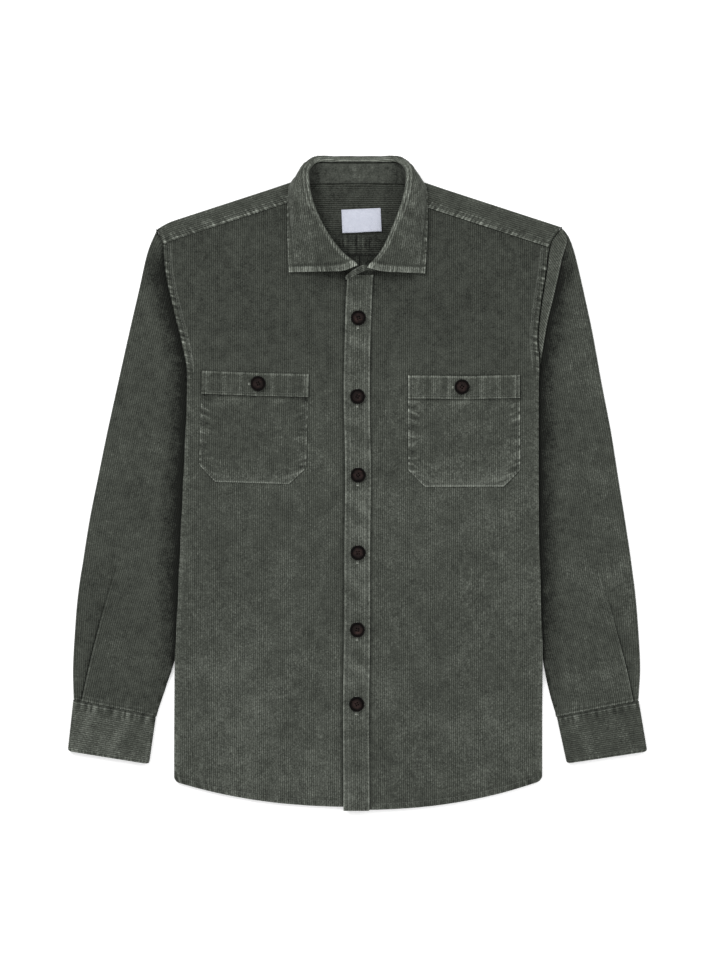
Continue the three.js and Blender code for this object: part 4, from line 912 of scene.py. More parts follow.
def make_cuff(side):
    sign = SIGN[side]
    corner = {key: np.array(value, float) for key, value in CUFFS[side].items()}
    length = np.linalg.norm(corner["end_out"] - corner["top_out"])
    wide = np.linalg.norm(corner["top_in"] - corner["top_out"])
    down = np.concatenate([[0, 0.25, 0.6], np.arange(1.25, length - 1, STEP), length - np.array([0.8, 0.4, 0.15, 0])])
    flat = np.arange(5, wide - 4.5, 1.8)
    turn = np.array([1.5, 1.2, 0.9, 0.6, 0.3])
    place = np.concatenate([4.4 - 4.4 * np.sin(turn), flat, wide - 4.4 + 4.4 * np.sin(turn[::-1])])
    quarter = np.concatenate([turn, np.zeros(len(flat)), turn[::-1]])
    away = np.concatenate([-np.ones(len(turn)), np.zeros(len(flat)), np.ones(len(turn))])
    share_down = (down / length)[:, None, None]
    rounded = 3.2 * (1 - np.sqrt(1 - clamp(1 - (length - down) / 3.2, 0, 1) ** 2))[:, None, None]
    share = (rounded + place[None, :, None] * (1 - 2 * rounded / wide)) / wide
    out = mix(corner["top_out"], corner["end_out"], share_down)
    into = mix(corner["top_in"], corner["end_in"], share_down)
    spot = mix(out, into, share)
    axis = (corner["top_in"] - corner["top_out"]) / wide
    seed = 3.0 if side == "left" else 7.0
    tone = -0.07 if side == "left" else 0.08
    down2, place2 = down[:, None] + 0 * place[None, :], place[None, :] + 0 * down[:, None]
    tick = ticks(place2, seed, 8.2)
    pucker = tick * ease(17, 2.5, down2) * ease(0, 2.2, down2)
    height = CUFF_HEIGHT + 1.1 * pucker + 0.3 * wander(place2 + 0.4 * down2, seed, 41)
    height = height - 0.4 * beside(down2 - 2.6, 1.1) - 0.35 * beside(length - 4.5 - down2, 1.1)
    height = height + 0.2 * ticks(place2, seed + 2, 5.0) * ease(8, 1, length - down2)
    half = height / 2
    cos, sin = np.cos(quarter)[None, :], np.sin(quarter)[None, :]
    z_top = half + half * cos
    z_low = (CUFF_HEIGHT / 2) * (1 - cos) + 0 * down2
    up = np.stack([0 * z_top, 0 * z_top, cos + 0 * z_top], axis=-1)
    side_way = (away * np.sin(quarter))[None, :, None] * np.array([axis[0], axis[1], 0])[None, None, :]
    rim = np.minimum(down2, length - down2)
    # Edges and pucker ridges worn paler; painted shade just below the top edge and in the pucker dimples
    wear_and_shading = tone + 0.1 * beside(length - down2, 2.2) + 0.3 * np.maximum(pucker, 0) - 0.6 * beside(down2 - 1.0, 1.4)
    wear_and_shading = wear_and_shading + 0.85 * np.minimum(pucker, 0)
    wear_and_shading = wear_and_shading + 0.42 * ticks(place2, seed + 2, 4.4) * ease(7, 1, length - down2) + 0.12 * beside(down2 - 3.6, 1.6)
    wear_and_shading = wear_and_shading + 0.16 * beside(np.minimum(place2, wide - place2) - 4, 1.6)
    wear_and_shading = wear_and_shading + 0.1 * wander(place2 + 0.3 * down2, seed + 1, 43)
    low_wear = tone + 0.3 * beside(rim, 2) + 0.14 * pucker
    x = sign * spot[..., 0]
    normal_top = side_way + up
    normal_low = side_way - up
    normal_top[..., 0] *= sign
    normal_low[..., 0] *= sign
    base = np.concatenate([np.stack([x, spot[..., 1], z_top], -1), np.stack([x, spot[..., 1], z_low], -1)[:, ::-1]], axis=1)
    normal = np.concatenate([normal_top, normal_low[:, ::-1]], axis=1)
    normal /= np.linalg.norm(normal, axis=-1, keepdims=True)

    def doubled(part):
        return np.concatenate([part, part[:, ::-1]], axis=1)

    rub_and_shading = np.concatenate([wear_and_shading, low_wear[:, ::-1]], axis=1)
    return solid_cloth(
        f"cuff_{side}", base, normal, doubled(down2), doubled(place2), rub_and_shading, thick=DOUBLE, edge=doubled(rim), ring=True, every=2
    )


# The collar
def curve_point(spots, t):
    """A point of the centripetal Catmull-Rom curve through spots, at share t of its rows."""
    last = len(spots) - 1
    at = min(t * last, last - 1e-9)
    k = int(at)
    share = at - k
    p1, p2 = spots[k], spots[k + 1]
    p0 = spots[k - 1] if k > 0 else 2 * spots[0] - spots[1]
    p3 = spots[k + 2] if k + 2 <= last else 2 * spots[-1] - spots[-2]
    d0, d1, d2 = (max(float(np.sum((b - a) ** 2)) ** 0.25, 1e-4) for a, b in ((p0, p1), (p1, p2), (p2, p3)))
    m1 = ((p1 - p0) / d0 - (p2 - p0) / (d0 + d1) + (p2 - p1) / d1) * d1
    m2 = ((p2 - p1) / d1 - (p3 - p1) / (d1 + d2) + (p3 - p2) / d2) * d1
    return (
        (2 * share**3 - 3 * share**2 + 1) * p1
        + (share**3 - 2 * share**2 + share) * m1
        + (-2 * share**3 + 3 * share**2) * p2
        + (share**3 - share**2) * m2
    )


def collar_lines(count, with_tab=False):
    """The collar's foot, roll, turn, low and edge lines, from the wearer's right front to the left one."""
    halves = {}
    for side in ("left", "right"):
        rows = [np.array(section, float) for section in COLLAR_BACK + COLLAR_FRONT[side]]
        halves[side] = [section * np.array([SIGN[side], 1, 1]) for section in rows]
    sections = halves["right"][:0:-1] + halves["left"]
    columns = 5
    if with_tab:
        sections = [section[:2] for section in sections[1:]] + [np.array(section, float) for section in STAND_TAB]
        columns = 2
    return [
        np.array([curve_point([section[c] for section in sections], k / (count - 1)) for k in range(count)])
        for c in range(columns)
    ]


def grid_normals(grid):
    """The way out of a grid of points, by its rows and columns."""
    along = np.gradient(grid, axis=0)
    across = np.gradient(grid, axis=1)
    normal = np.cross(along, across)
    return normal / (np.linalg.norm(normal, axis=-1, keepdims=True) + 1e-12)


def make_collar_leaf():
    count = 150
    foot, roll, turn, low, edge = collar_lines(count)
    rows = 36
    grid = np.zeros((rows + 1, count, 3))
    for k in range(count):
        spots = [roll[k], turn[k], low[k], edge[k]]
        for i in range(rows):
            grid[i + 1, k] = curve_point(spots, i / (rows - 1))
        to_foot = (foot[k] - roll[k]) / np.linalg.norm(foot[k] - roll[k])
        outward = (turn[k] - roll[k]) * np.array([1, 1, 0])
        grid[0, k] = roll[k] + 1.6 * to_foot - 0.9 * outward / np.linalg.norm(outward)
    grid[..., 2] = np.maximum(grid[..., 2], LEAF_LOWEST)
    normals = grid_normals(grid)
    middle = normals[rows // 2, count // 2]
    if middle[2] > 0:
        normals = -normals
    # At the centre back the leaf's outer side is down
    steps = np.linalg.norm(np.diff(grid, axis=0), axis=-1)
    from_edge = np.concatenate([np.cumsum(steps[::-1], axis=0)[::-1], np.zeros((1, count))])
    longest = from_edge.max()
    wanted = np.concatenate([[0, 0.3, 0.8], np.arange(1.25, longest + STEP, STEP)])
    base = np.zeros((len(wanted), count, 3))
    normal = np.zeros_like(base)
    for k in range(count):
        reachable = from_edge[::-1, k]
        for axis in range(3):
            base[:, k, axis] = np.interp(wanted, reachable, grid[::-1, k, axis])
            normal[:, k, axis] = np.interp(wanted, reachable, normals[::-1, k, axis])
    normal /= np.linalg.norm(normal, axis=-1, keepdims=True)
    edge_in = np.minimum(wanted[:, None], from_edge.max(axis=0)[None, :])
    along_edge = np.concatenate([[0], np.cumsum(np.linalg.norm(np.diff(edge, axis=0), axis=1))])[None, :] + 0 * edge_in
    to_front = np.minimum(along_edge, along_edge.max() - along_edge)
    from_roll = from_edge.max(axis=0)[None, :] - 1.8 - edge_in
    tick = ticks(along_edge, 3.1, 5.6)
    front_tick = ticks(edge_in, 1.9, 4.6)
    roll_tick = ticks(along_edge, 6.2, 6.5)
    detail = 0.34 * tick * ease(8, 1.5, edge_in) - 0.42 * beside(edge_in - 6.2, 1.2)
    detail = detail + 0.26 * front_tick * ease(8, 1.5, to_front) - 0.42 * beside(to_front - 6.2, 1.2)
    detail = detail + 0.5 * wander(along_edge + edge_in, 2.3, 46) + 0.3 * wander(along_edge - 1.4 * edge_in, 5.0, 27)
    detail = detail * (1 - 0.85 * ease(60, 48, np.abs(base[..., 0])) * ease(360, 375, base[..., 1]))
    detail = detail * ease(0.0, 4, from_roll + 2) + 0.2 * roll_tick * beside(from_roll - 3, 5)
    rim = np.minimum(edge_in, to_front)
    base = base + normal * (DOUBLE / 2 + detail - 0.2)[..., None]
    at_back = ease(56, 46, np.abs(base[..., 0]))
    in_front = ease(46, 60, np.abs(base[..., 0])) + 0 * edge_in
    strip = ease(7.4, 6, to_front)
    # Edges worn paler, with painted shade in the sunken stitch lines
    wear_and_shading = 0.12 + 0.3 * beside(edge_in - 0.6, 2.4) - 0.3 * beside(edge_in - 6.4, 1.3)
    wear_and_shading = wear_and_shading + 0.32 * strip + 0.2 * beside(to_front - 0.6, 2) - 0.4 * beside(to_front - 7.8, 1.2)
    wear_and_shading = wear_and_shading + in_front * (0.36 * beside(from_roll - 1.4, 2.2) + 0.28 * beside(from_roll - 6, 1.8))
    wear_and_shading = wear_and_shading - in_front * (0.2 * beside(from_roll - 3.8, 1.2) + 0.3 * beside(from_roll - 8.4, 1.3))
    wear_and_shading = wear_and_shading + at_back * (0.4 * beside(from_roll - 0.8, 0.9) + 0.4 * beside(from_roll - 3.6, 0.8) - 0.3 * beside(from_roll - 2.2, 0.8))
    wear_and_shading = wear_and_shading - at_back * (0.28 * ease(4.2, 5.4, from_roll) - 0.12)
    blotch = np.sin(along_edge / 5.1 + 1.4 * np.sin(edge_in / 7)) * np.sin(edge_in / 4.6 + 1.7 * np.sin(along_edge / 11))
    wear_and_shading = wear_and_shading + 0.06 * wander(along_edge + edge_in, 2.3, 46) + 0.08 * blotch * ease(6, 12, edge_in)
    # Pucker dimples near the edges darkened as painted shade, and the middle a little darker
    wear_and_shading = wear_and_shading + 0.35 * np.minimum(tick, 0) * ease(9, 3, edge_in) * in_front - 0.05 * ease(10, 16, rim)
    pull = np.maximum(0.7 * ease(8, 1, edge_in), 0.3 * ease(9, 3, from_roll) * in_front)
    pull = np.maximum(pull, 0.5 * ease(8, 2, to_front))
    run = np.where(to_front < edge_in, edge_in * 2.2, along_edge * 1.25)
    pile = 1.4 * WALE_DEPTH * groove(edge_in) * (1 + 0.5 * strip)
    return solid_cloth(
        "collar_leaf", base, normal, edge_in, along_edge, wear_and_shading, thick=DOUBLE, edge=rim, every=2, relief=pile, run=run, pull=pull
    )


def make_collar_stand():
    count = 170
    foot, roll = collar_lines(count, with_tab=True)
    way = roll - foot
    length = np.linalg.norm(way, axis=1)
    way = way / length[:, None]
    tall = np.linspace(0, 1, 44)[:, None]
    grid = foot[None, :, :] + (tall * (length - 4.3)[None, :])[..., None] * way[None, :, :]
    normal = grid_normals(grid)
    centre = normal[len(tall) // 2, count // 2]
    if centre[2] > 0:
        normal = -normal
    up = tall * (length - 4.3)[None, :]
    along = np.concatenate([[0], np.cumsum(np.linalg.norm(np.diff(foot, axis=0), axis=1))])[None, :] + 0 * up
    to_tab = along.max() - along
    tick = ticks(along, 2.6, 7.0)
    detail = 0.3 * wander(along + 2 * up, 3.0, 23) + 0.25 * tick * ease(7, 1, up) + 0.2 * ticks(along, 8.8, 9) * ease(16, 24, up)
    rim = np.minimum(np.minimum(up, (length - 4.3)[None, :] - up + 1), to_tab)
    base = grid + normal * (0.9 + detail * 0.5)[..., None]
    # The stand inside the neck, darkened as painted shade and most at its foot, with paler puckers
    wear_and_shading = -0.13 + 0.26 * tick * ease(9, 1, up) * ease(20, 40, to_tab) - 0.3 * beside(up, 1.4)
    # Painted shade at the stand's ends, under the rolled leaf
    shaded_end = ease(30, 52, np.abs(grid[..., 0])) * ease(330, 350, grid[..., 1])
    wear_and_shading = wear_and_shading - 0.45 * shaded_end + 0.12 * wander(along + 0.5 * up, 4.5, 13) + 0.1 * wander(along - 0.6 * up, 6.1, 7)
    wear_and_shading = wear_and_shading + 0.35 * ease(34, 26, to_tab) + 0.25 * ticks(along, 4, 3.4) * ease(34, 26, to_tab)
    wales = np.where(to_tab < 34, up, 1.25)
    return solid_cloth("collar_stand", base, normal, wales, along, wear_and_shading, thick=1.8, edge=rim, every=2, depth=0.2, inside_wear_and_shading=wear_and_shading)


def make_label():
    """The woven label at the centre back. Nothing is woven into it."""
    width, height, thick = 47.0, 28.0, 0.9
    share = np.linspace(-0.5, 0.5, 61)[None, :]
    down = np.linspace(-0.5, 0.5, 41)[:, None]
    across, below = share * width + 0 * down, down * height + 0 * share
    tilt = 0.045
    x = 4.8 + across * math.cos(tilt) + below * math.sin(tilt)
    y = 314.4 + across * math.sin(tilt) - below * math.cos(tilt)
    edge = np.minimum(width / 2 - np.abs(across), height / 2 - np.abs(below))
    bow = 0.5 * np.cos(across / width * math.pi) * np.cos(below / height * math.pi)
    z = YOKE_RAISED + CLOTH + SEAM_GAP + thick + 0.1 + bow + 0.18 * np.sin(across / 6.1) * ease(9, 0, height / 2 - below)
    base = np.stack([x, y, z], axis=-1)
    up = np.zeros_like(base)
    up[..., 2] = 1
    wear_and_shading = 0.3 * beside(edge - 1.4, 0.5)
    return solid_cloth("label", base, up, across, below, wear_and_shading, thick=thick, edge=edge, depth=0)


# Buttons, each cut from one piece of horn-like resin
def select_only(piece):
    bpy.ops.object.select_all(action="DESELECT")
    piece.select_set(True)
    bpy.context.view_layer.objects.active = piece


def pick_top(piece):
    """Leave only the top face selected, in edit mode."""
    bpy.ops.object.mode_set(mode="OBJECT")
    highest = max(face.center.z for face in piece.data.polygons)
    for face in piece.data.polygons:
        face.select = face.center.z > highest - 1e-6 and face.normal.z > 0.9
    bpy.ops.object.mode_set(mode="EDIT")


def make_button(name, x, y, z, turn, tilt):
    bpy.ops.mesh.primitive_cylinder_add(vertices=72, radius=BUTTON_RADIUS * MM, depth=BUTTON_THICK * MM)
    piece = bpy.context.active_object
    piece.name = name
    bpy.ops.object.mode_set(mode="EDIT")
    bpy.ops.mesh.select_mode(type="FACE")
    # A broad rim, a step down, and a shallow dish for the four holes
    pick_top(piece)
    for inset, drop in ((1.7, 0.0), (0.75, -0.75), (2.6, -0.12)):
        bpy.ops.mesh.inset(thickness=inset * MM, depth=0)
        bpy.ops.transform.translate(value=(0, 0, drop * MM))
    bpy.ops.object.mode_set(mode="OBJECT")
    for k in range(4):
        angle = math.pi / 4 + k * math.pi / 2
        spot = (HOLE_PLACE * MM * math.cos(angle), HOLE_PLACE * MM * math.sin(angle), 0)
        bpy.ops.mesh.primitive_cylinder_add(vertices=20, radius=HOLE_RADIUS * MM, depth=8 * MM, location=spot)
        cutter = bpy.context.active_object
        select_only(piece)
        cut = piece.modifiers.new("hole", "BOOLEAN")
        cut.operation = "DIFFERENCE"
        cut.solver = "EXACT"
        cut.object = cutter
        bpy.ops.object.modifier_apply(modifier=cut.name)
        select_only(cutter)
        bpy.ops.object.delete()
    select_only(piece)
    round_over = piece.modifiers.new("rounded", "BEVEL")
    round_over.width = 0.42 * MM
    round_over.segments = 3
    round_over.limit_method = "ANGLE"
    round_over.angle_limit = math.radians(35)
    bpy.ops.object.modifier_apply(modifier=round_over.name)
    bpy.ops.object.shade_smooth_by_angle(angle=math.radians(40))
    # A painted shade ring: the rim attribute darkens the resin towards the button's edge
    rim = piece.data.attributes.new("rim", "FLOAT", "POINT")
    for vertex, value in zip(piece.data.vertices, rim.data):
        value.value = float(ease(5.0, 7.0, math.hypot(vertex.co.x, vertex.co.y) / MM))
    piece.location = (x * MM, y * MM, (z + BUTTON_THICK / 2) * MM)
    piece.rotation_euler = (tilt[0], tilt[1], turn)
    bpy.ops.object.transform_apply(location=True, rotation=True, scale=True)
    return piece


def tube_between(start, end, radius, sag, segments=5, sides=6):
    """A short round thread from start to end that bows upward by sag. Returns its points and faces."""
    start, end = Vector(start), Vector(end)
    ahead = (end - start).normalized()
    across = ahead.cross(Vector((0, 0, 1))).normalized()
    over = across.cross(ahead)
    points, faces = [], []
    for i in range(segments + 1):
        share = i / segments
        middle = start.lerp(end, share) + Vector((0, 0, 1)) * sag * (1 - (2 * share - 1) ** 2)
        girth = radius * (0.45 + 0.55 * math.sin(math.pi * clamp(share, 0.12, 0.88)) ** 0.5)
        for k in range(sides):
            angle = 2 * math.pi * k / sides
            points.append(tuple(middle + girth * (math.cos(angle) * across + math.sin(angle) * over)))
    for i in range(segments):
        for k in range(sides):
            low, high = i * sides + k, i * sides + (k + 1) % sides
            faces.append([low, low + sides, high + sides, high])
    faces.append(list(range(sides)))
    faces.append([segments * sides + k for k in range(sides)][::-1])
    return points, faces


def thread_plug(x, y, low, high, sides=10):
    """The bundle of thread that fills a hole of a button, from low to high, near black to stand for the hole's shade.
    Returns its points and faces.
    """
    turns = [2 * math.pi * k / sides for k in range(sides)]
    ring = [(x + (HOLE_RADIUS - 0.1) * math.cos(turn), y + (HOLE_RADIUS - 0.1) * math.sin(turn)) for turn in turns]
    points = [(*spot, low) for spot in ring] + [(*spot, high) for spot in ring]
    faces = [[k, (k + 1) % sides, (k + 1) % sides + sides, k + sides] for k in range(sides)]
    faces.append(list(range(sides))[::-1])
    faces.append(list(range(sides, 2 * sides)))
    return points, faces


def joined_threads(name, tubes):
    points, faces = [], []
    for tube_points, tube_faces in tubes:
        faces += [[n + len(points) for n in face] for face in tube_faces]
        points += tube_points
    return mesh_piece(name, np.array(points), faces, {})


def surface_tree(piece):
    mesh = piece.data
    spots = np.zeros(len(mesh.vertices) * 3)
    mesh.vertices.foreach_get("co", spots)
    spots = (spots.reshape(-1, 3) / MM).tolist()
    return BVHTree.FromPolygons(spots, [list(face.vertices) for face in mesh.polygons])


def height_on(trees, x, y, fallback):
    """The highest cloth under a place."""
    best = None
    for tree in trees:
        hit = tree.ray_cast(Vector((x, y, 80)), Vector((0, 0, -1)))[0]
        if hit is not None and (best is None or hit.z > best):
            best = hit.z
    return fallback if best is None else best


def sew(name, trees, paths, length=2.9, gap=0.7, radius=0.24, sink=0.05):
    """Topstitching along each path of places on the cloth, one thread for each stitch."""
    tubes = []
    for path in paths:
        path = np.array(path, float)
        run = np.concatenate([[0], np.cumsum(np.linalg.norm(np.diff(path, axis=0), axis=1))])
        count = int((run[-1] - gap) // (length + gap))
        for k in range(count):
            ends = []
            for at in (k * (length + gap) + gap, k * (length + gap) + gap + length):
                x, y = np.interp(at, run, path[:, 0]), np.interp(at, run, path[:, 1])
                z = height_on(trees, x, y, None)
                ends.append(None if z is None else (x, y, z - sink))
            if None in ends or abs(ends[0][2] - ends[1][2]) > 1.5:
                continue
            tubes.append(tube_between(ends[0], ends[1], radius, 0.14, segments=4, sides=5))
    return joined_threads(name, tubes)


# Materials
def linear(hex_colour, alpha=1.0):
    """An sRGB colour such as 4a4d46 as the linear values that shaders take."""
    parts = [int(hex_colour[k : k + 2], 16) / 255 for k in (0, 2, 4)]
    return [part / 12.92 if part <= 0.04045 else ((part + 0.055) / 1.055) ** 2.4 for part in parts] + [alpha]


def add(tree, kind, settings=None, **inputs):
    """Add a shader node. Inputs are given by name, or by place as in_0; a socket is linked and a value is set."""
    node = tree.nodes.new(kind)
    for key, value in (settings or {}).items():
        setattr(node, key, value)
    for key, value in inputs.items():
        socket = node.inputs[int(key[3:])] if key.startswith("in_") else node.inputs[key.replace("_", " ")]
        if isinstance(value, bpy.types.NodeSocket):
            tree.links.new(value, socket)
        else:
            socket.default_value = value
    return node.outputs[0]


def maths(tree, operation, first, second=0.0, third=0.0):
    return add(tree, "ShaderNodeMath", {"operation": operation}, in_0=first, in_1=second, in_2=third)


def blend(tree, share, one, other, mode="MIX"):
    node = tree.nodes.new("ShaderNodeMix")
    node.data_type = "RGBA"
    node.blend_type = mode
    node.clamp_factor = True
    for socket, value in ((node.inputs[0], share), (node.inputs[6], one), (node.inputs[7], other)):
        if isinstance(value, bpy.types.NodeSocket):
            tree.links.new(value, socket)
        else:
            socket.default_value = value
    return node.outputs[2]


def attribute(tree, name):
    node = tree.nodes.new("ShaderNodeAttribute")
    node.attribute_name = name
    return node.outputs["Fac"]


def place_in_mm(tree):
    coordinates = tree.nodes.new("ShaderNodeTexCoord").outputs["Object"]
    return add(tree, "ShaderNodeVectorMath", {"operation": "SCALE"}, in_0=coordinates, Scale=1000.0)


def noise(tree, vector, size, detail=2.0, roughness=0.5):
    return add(tree, "ShaderNodeTexNoise", None, Vector=vector, Scale=1 / size, Detail=detail, Roughness=roughness)


def new_material(name):
    material = bpy.data.materials.new(name)
    material.use_nodes = True
    return material, material.node_tree, material.node_tree.nodes["Principled BSDF"]


def corduroy(name, pile="4a4d47", valley="2e312b", worn="848880", tone=0.95):
    """Cotton corduroy, dyed as a finished garment, so that crests and seams are worn paler than the grooves. The tone
    it reads at each point holds painted light and shade as well as wear.
    """
    material, tree, shader = new_material(name)
    across, along = attribute(tree, "across"), attribute(tree, "along")
    spot = place_in_mm(tree)
    turn = maths(tree, "MULTIPLY", across, 2 * math.pi / WALE)
    crest = maths(tree, "MULTIPLY_ADD", maths(tree, "COSINE", turn), -0.5, 0.5)
    grain = noise(tree, spot, 0.42, 3.0, 0.65)
    fuzz = noise(tree, spot, 1.6, 2.0, 0.6)
    cloudy = noise(tree, spot, 34.0, 3.0, 0.55)
    broad = noise(tree, spot, 120.0, 1.0, 0.5)
    patchy = noise(tree, spot, 11.0, 3.0, 0.6)
    by_wale = add(tree, "ShaderNodeCombineXYZ", None, X=maths(tree, "DIVIDE", across, 1.9), Y=maths(tree, "DIVIDE", along, 26.0))
    streak = noise(tree, by_wale, 1.0, 2.0, 0.6)
    short_place = add(tree, "ShaderNodeCombineXYZ", None, X=maths(tree, "DIVIDE", across, 2.2), Y=maths(tree, "DIVIDE", along, 3.4))
    short = noise(tree, short_place, 1.0, 2.0, 0.6)
    # Puckers along seams: a bump, with painted light and shade that follow it as well as worn paler ridges
    run = maths(tree, "DIVIDE", attribute(tree, "run"), 6.2)
    pucker = add(tree, "ShaderNodeTexNoise", {"noise_dimensions": "1D"}, W=run, Scale=1.0, Detail=1.5, Roughness=0.5)
    pucker = maths(tree, "MULTIPLY", maths(tree, "SUBTRACT", pucker, 0.5), attribute(tree, "pull"))
    wear_and_shading = attribute(tree, "wear_and_shading")
    wear_and_shading = maths(tree, "MULTIPLY_ADD", pucker, 2.1, wear_and_shading)
    for source, strength in ((cloudy, 0.36), (broad, 0.26), (patchy, 0.2), (streak, 0.24), (short, 0.6), (fuzz, 0.5)):
        wear_and_shading = maths(tree, "MULTIPLY_ADD", maths(tree, "SUBTRACT", source, 0.5), strength, wear_and_shading)
    # The pile is crushed here and there, where the wales hardly show
    crushed = maths(tree, "MINIMUM", maths(tree, "MULTIPLY_ADD", noise(tree, spot, 5.0, 2.0, 0.6), 2.2, -0.2), 1.2)
    crushed = maths(tree, "MAXIMUM", crushed, 0.1)
    height = maths(tree, "MULTIPLY_ADD", maths(tree, "SUBTRACT", maths(tree, "POWER", crest, 0.75), 0.6), crushed, 0.6)
    colour = blend(tree, height, linear(valley), linear(pile))
    on_crest = maths(tree, "MULTIPLY_ADD", crest, 0.7, 0.3)
    # Crests turn to the rubbed colour where the tone is raised, by wear and by painted highlights
    rub_and_highlight = maths(tree, "MULTIPLY", maths(tree, "MULTIPLY", wear_and_shading, 1.15), on_crest)
    colour = blend(tree, maths(tree, "MAXIMUM", rub_and_highlight, 0.0), colour, linear(worn))
    # Lighter and darker by the same tone, which holds fading, wear and painted shade
    fade_and_shading = maths(tree, "MULTIPLY_ADD", wear_and_shading, 0.75, tone)
    grained = maths(tree, "MULTIPLY_ADD", maths(tree, "SUBTRACT", grain, 0.5), 0.6, fade_and_shading)
    grained = maths(tree, "MULTIPLY_ADD", maths(tree, "SUBTRACT", fuzz, 0.5), 1.05, grained)
    mottled = noise(tree, spot, 9.0, 3.0, 0.62)
    grained = maths(tree, "MULTIPLY_ADD", maths(tree, "SUBTRACT", mottled, 0.5), 1.0, grained)
    strength = maths(tree, "MAXIMUM", grained, 0.16)
    colour = add(tree, "ShaderNodeVectorMath", {"operation": "SCALE"}, in_0=colour, Scale=strength)
    tree.links.new(colour, shader.inputs["Base Color"])
    fluff = maths(tree, "MULTIPLY_ADD", grain, 0.22, maths(tree, "MULTIPLY", fuzz, 0.2))
    lump = maths(tree, "MULTIPLY_ADD", pucker, 2.2, fluff)
    bump = add(tree, "ShaderNodeBump", None, Strength=0.7, Distance=0.0006, Height=lump)
    tree.links.new(bump, shader.inputs["Normal"])
    shader.inputs["Roughness"].default_value = 0.95
    shader.inputs["Specular IOR Level"].default_value = 0.12
    shader.inputs["Sheen Weight"].default_value = 0.18
    shader.inputs["Sheen Roughness"].default_value = 0.45
    shader.inputs["Sheen Tint"].default_value = linear("b9bdb4")
    return material


def cotton_thread(name, colour, fibre="8a8e85", gloss=0.5, sheen=0.2):
    material, tree, shader = new_material(name)
    spot = place_in_mm(tree)
    soft = noise(tree, spot, 0.3, 2.0, 0.6)
    paint = blend(tree, maths(tree, "MULTIPLY", soft, 0.3), linear(colour), linear(fibre))
    tree.links.new(paint, shader.inputs["Base Color"])
    shader.inputs["Roughness"].default_value = 0.7
    shader.inputs["Specular IOR Level"].default_value = gloss
    shader.inputs["Sheen Weight"].default_value = sheen
    return material


def button_resin(name):
    """Dark brown horn-like polyester with cloudy reddish streaks."""
    material, tree, shader = new_material(name)
    spot = place_in_mm(tree)
    warp = noise(tree, spot, 7.0, 3.0, 0.6)
    streaks = noise(tree, add(tree, "ShaderNodeVectorMath", {"operation": "MULTIPLY"}, in_0=spot, in_1=(0.5, 1.6, 1.0)), 5.0, 4.0, 0.6)
    cloud = maths(tree, "SMOOTH_MIN", maths(tree, "MULTIPLY_ADD", warp, 3.4, -1.5), 1.0, 0.2)
    colour = blend(tree, cloud, linear("1b1514"), linear("342725"))
    colour = blend(tree, maths(tree, "MULTIPLY_ADD", streaks, 3.0, -1.75), colour, linear("503934"))
    # The rim is darkened as painted shade
    darker = maths(tree, "MULTIPLY_ADD", attribute(tree, "rim"), -0.88, 1.0)
    colour = add(tree, "ShaderNodeVectorMath", {"operation": "SCALE"}, in_0=colour, Scale=darker)
    tree.links.new(colour, shader.inputs["Base Color"])
    scuffed = noise(tree, spot, 1.1, 3.0, 0.6)
    bump = add(tree, "ShaderNodeBump", None, Strength=0.15, Distance=0.0002, Height=scuffed)
    tree.links.new(bump, shader.inputs["Normal"])
    shader.inputs["Roughness"].default_value = 0.42
    shader.inputs["Specular IOR Level"].default_value = 0.05
    return material


def woven_label(name):
    """Pale lilac-grey damask, its fine threads running across."""
    material, tree, shader = new_material(name)
    across, below = attribute(tree, "across"), attribute(tree, "along")
    warp = maths(tree, "SINE", maths(tree, "MULTIPLY", across, 2 * math.pi / 0.28))
    weft = maths(tree, "SINE", maths(tree, "MULTIPLY", below, 2 * math.pi / 0.34))
    weave = maths(tree, "MULTIPLY", warp, weft)
    spot = place_in_mm(tree)
    uneven = noise(tree, spot, 6.0, 3.0, 0.55)
    colour = blend(tree, uneven, linear("b4b8c6"), linear("cbceda"))
    shade = maths(tree, "MULTIPLY_ADD", weave, 0.05, 0.97)
    shade = maths(tree, "MULTIPLY_ADD", attribute(tree, "wear_and_shading"), -0.35, shade)
    colour = add(tree, "ShaderNodeVectorMath", {"operation": "SCALE"}, in_0=colour, Scale=shade)
    tree.links.new(colour, shader.inputs["Base Color"])
    bump = add(tree, "ShaderNodeBump", None, Strength=0.4, Distance=0.0002, Height=weave)
    tree.links.new(bump, shader.inputs["Normal"])
    shader.inputs["Roughness"].default_value = 0.62
    shader.inputs["Sheen Weight"].default_value = 0.2
    return material


cloth = corduroy("garment-dyed corduroy")
thread = cotton_thread("tonal cotton thread", "50544d")
worn_thread = cotton_thread("worn cotton thread", "7b7f76")
# The button thread is made near black as painted shade in the holes
hole_shade_thread = cotton_thread("button thread as hole shade", "070606", fibre="100e0d", gloss=0.02, sheen=0.0)
resin = button_resin("horn-like resin")
label_weave = woven_label("woven label damask")

# The garment
pieces = {}
for side in ("right", "left"):
    pieces[f"front_{side}"] = make_front(side)
    pieces[f"sleeve_{side}"] = make_sleeve(side)
    pieces[f"cuff_{side}"] = make_cuff(side)
    pieces[f"pocket_{side}"] = make_pocket(side)
    pieces[f"pocket_band_{side}"] = make_pocket_band(side)
pieces["back"] = make_back()
pieces["yoke"] = make_yoke()
pieces["placket"] = make_placket()
pieces["collar_leaf"] = make_collar_leaf()
pieces["collar_stand"] = make_collar_stand()
sleeve_head = make_sleeve_head()
label = make_label()

for piece in [*pieces.values(), sleeve_head]:
    piece.data.materials.append(cloth)
label.data.materials.append(label_weave)

# Each piece hangs from the root, and the part it stands for is hidden
for name, piece in pieces.items():
    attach(piece, "root")
    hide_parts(name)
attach(sleeve_head, "root")
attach(label, "root")
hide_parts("label")

trees = {name: surface_tree(piece) for name, piece in pieces.items()}

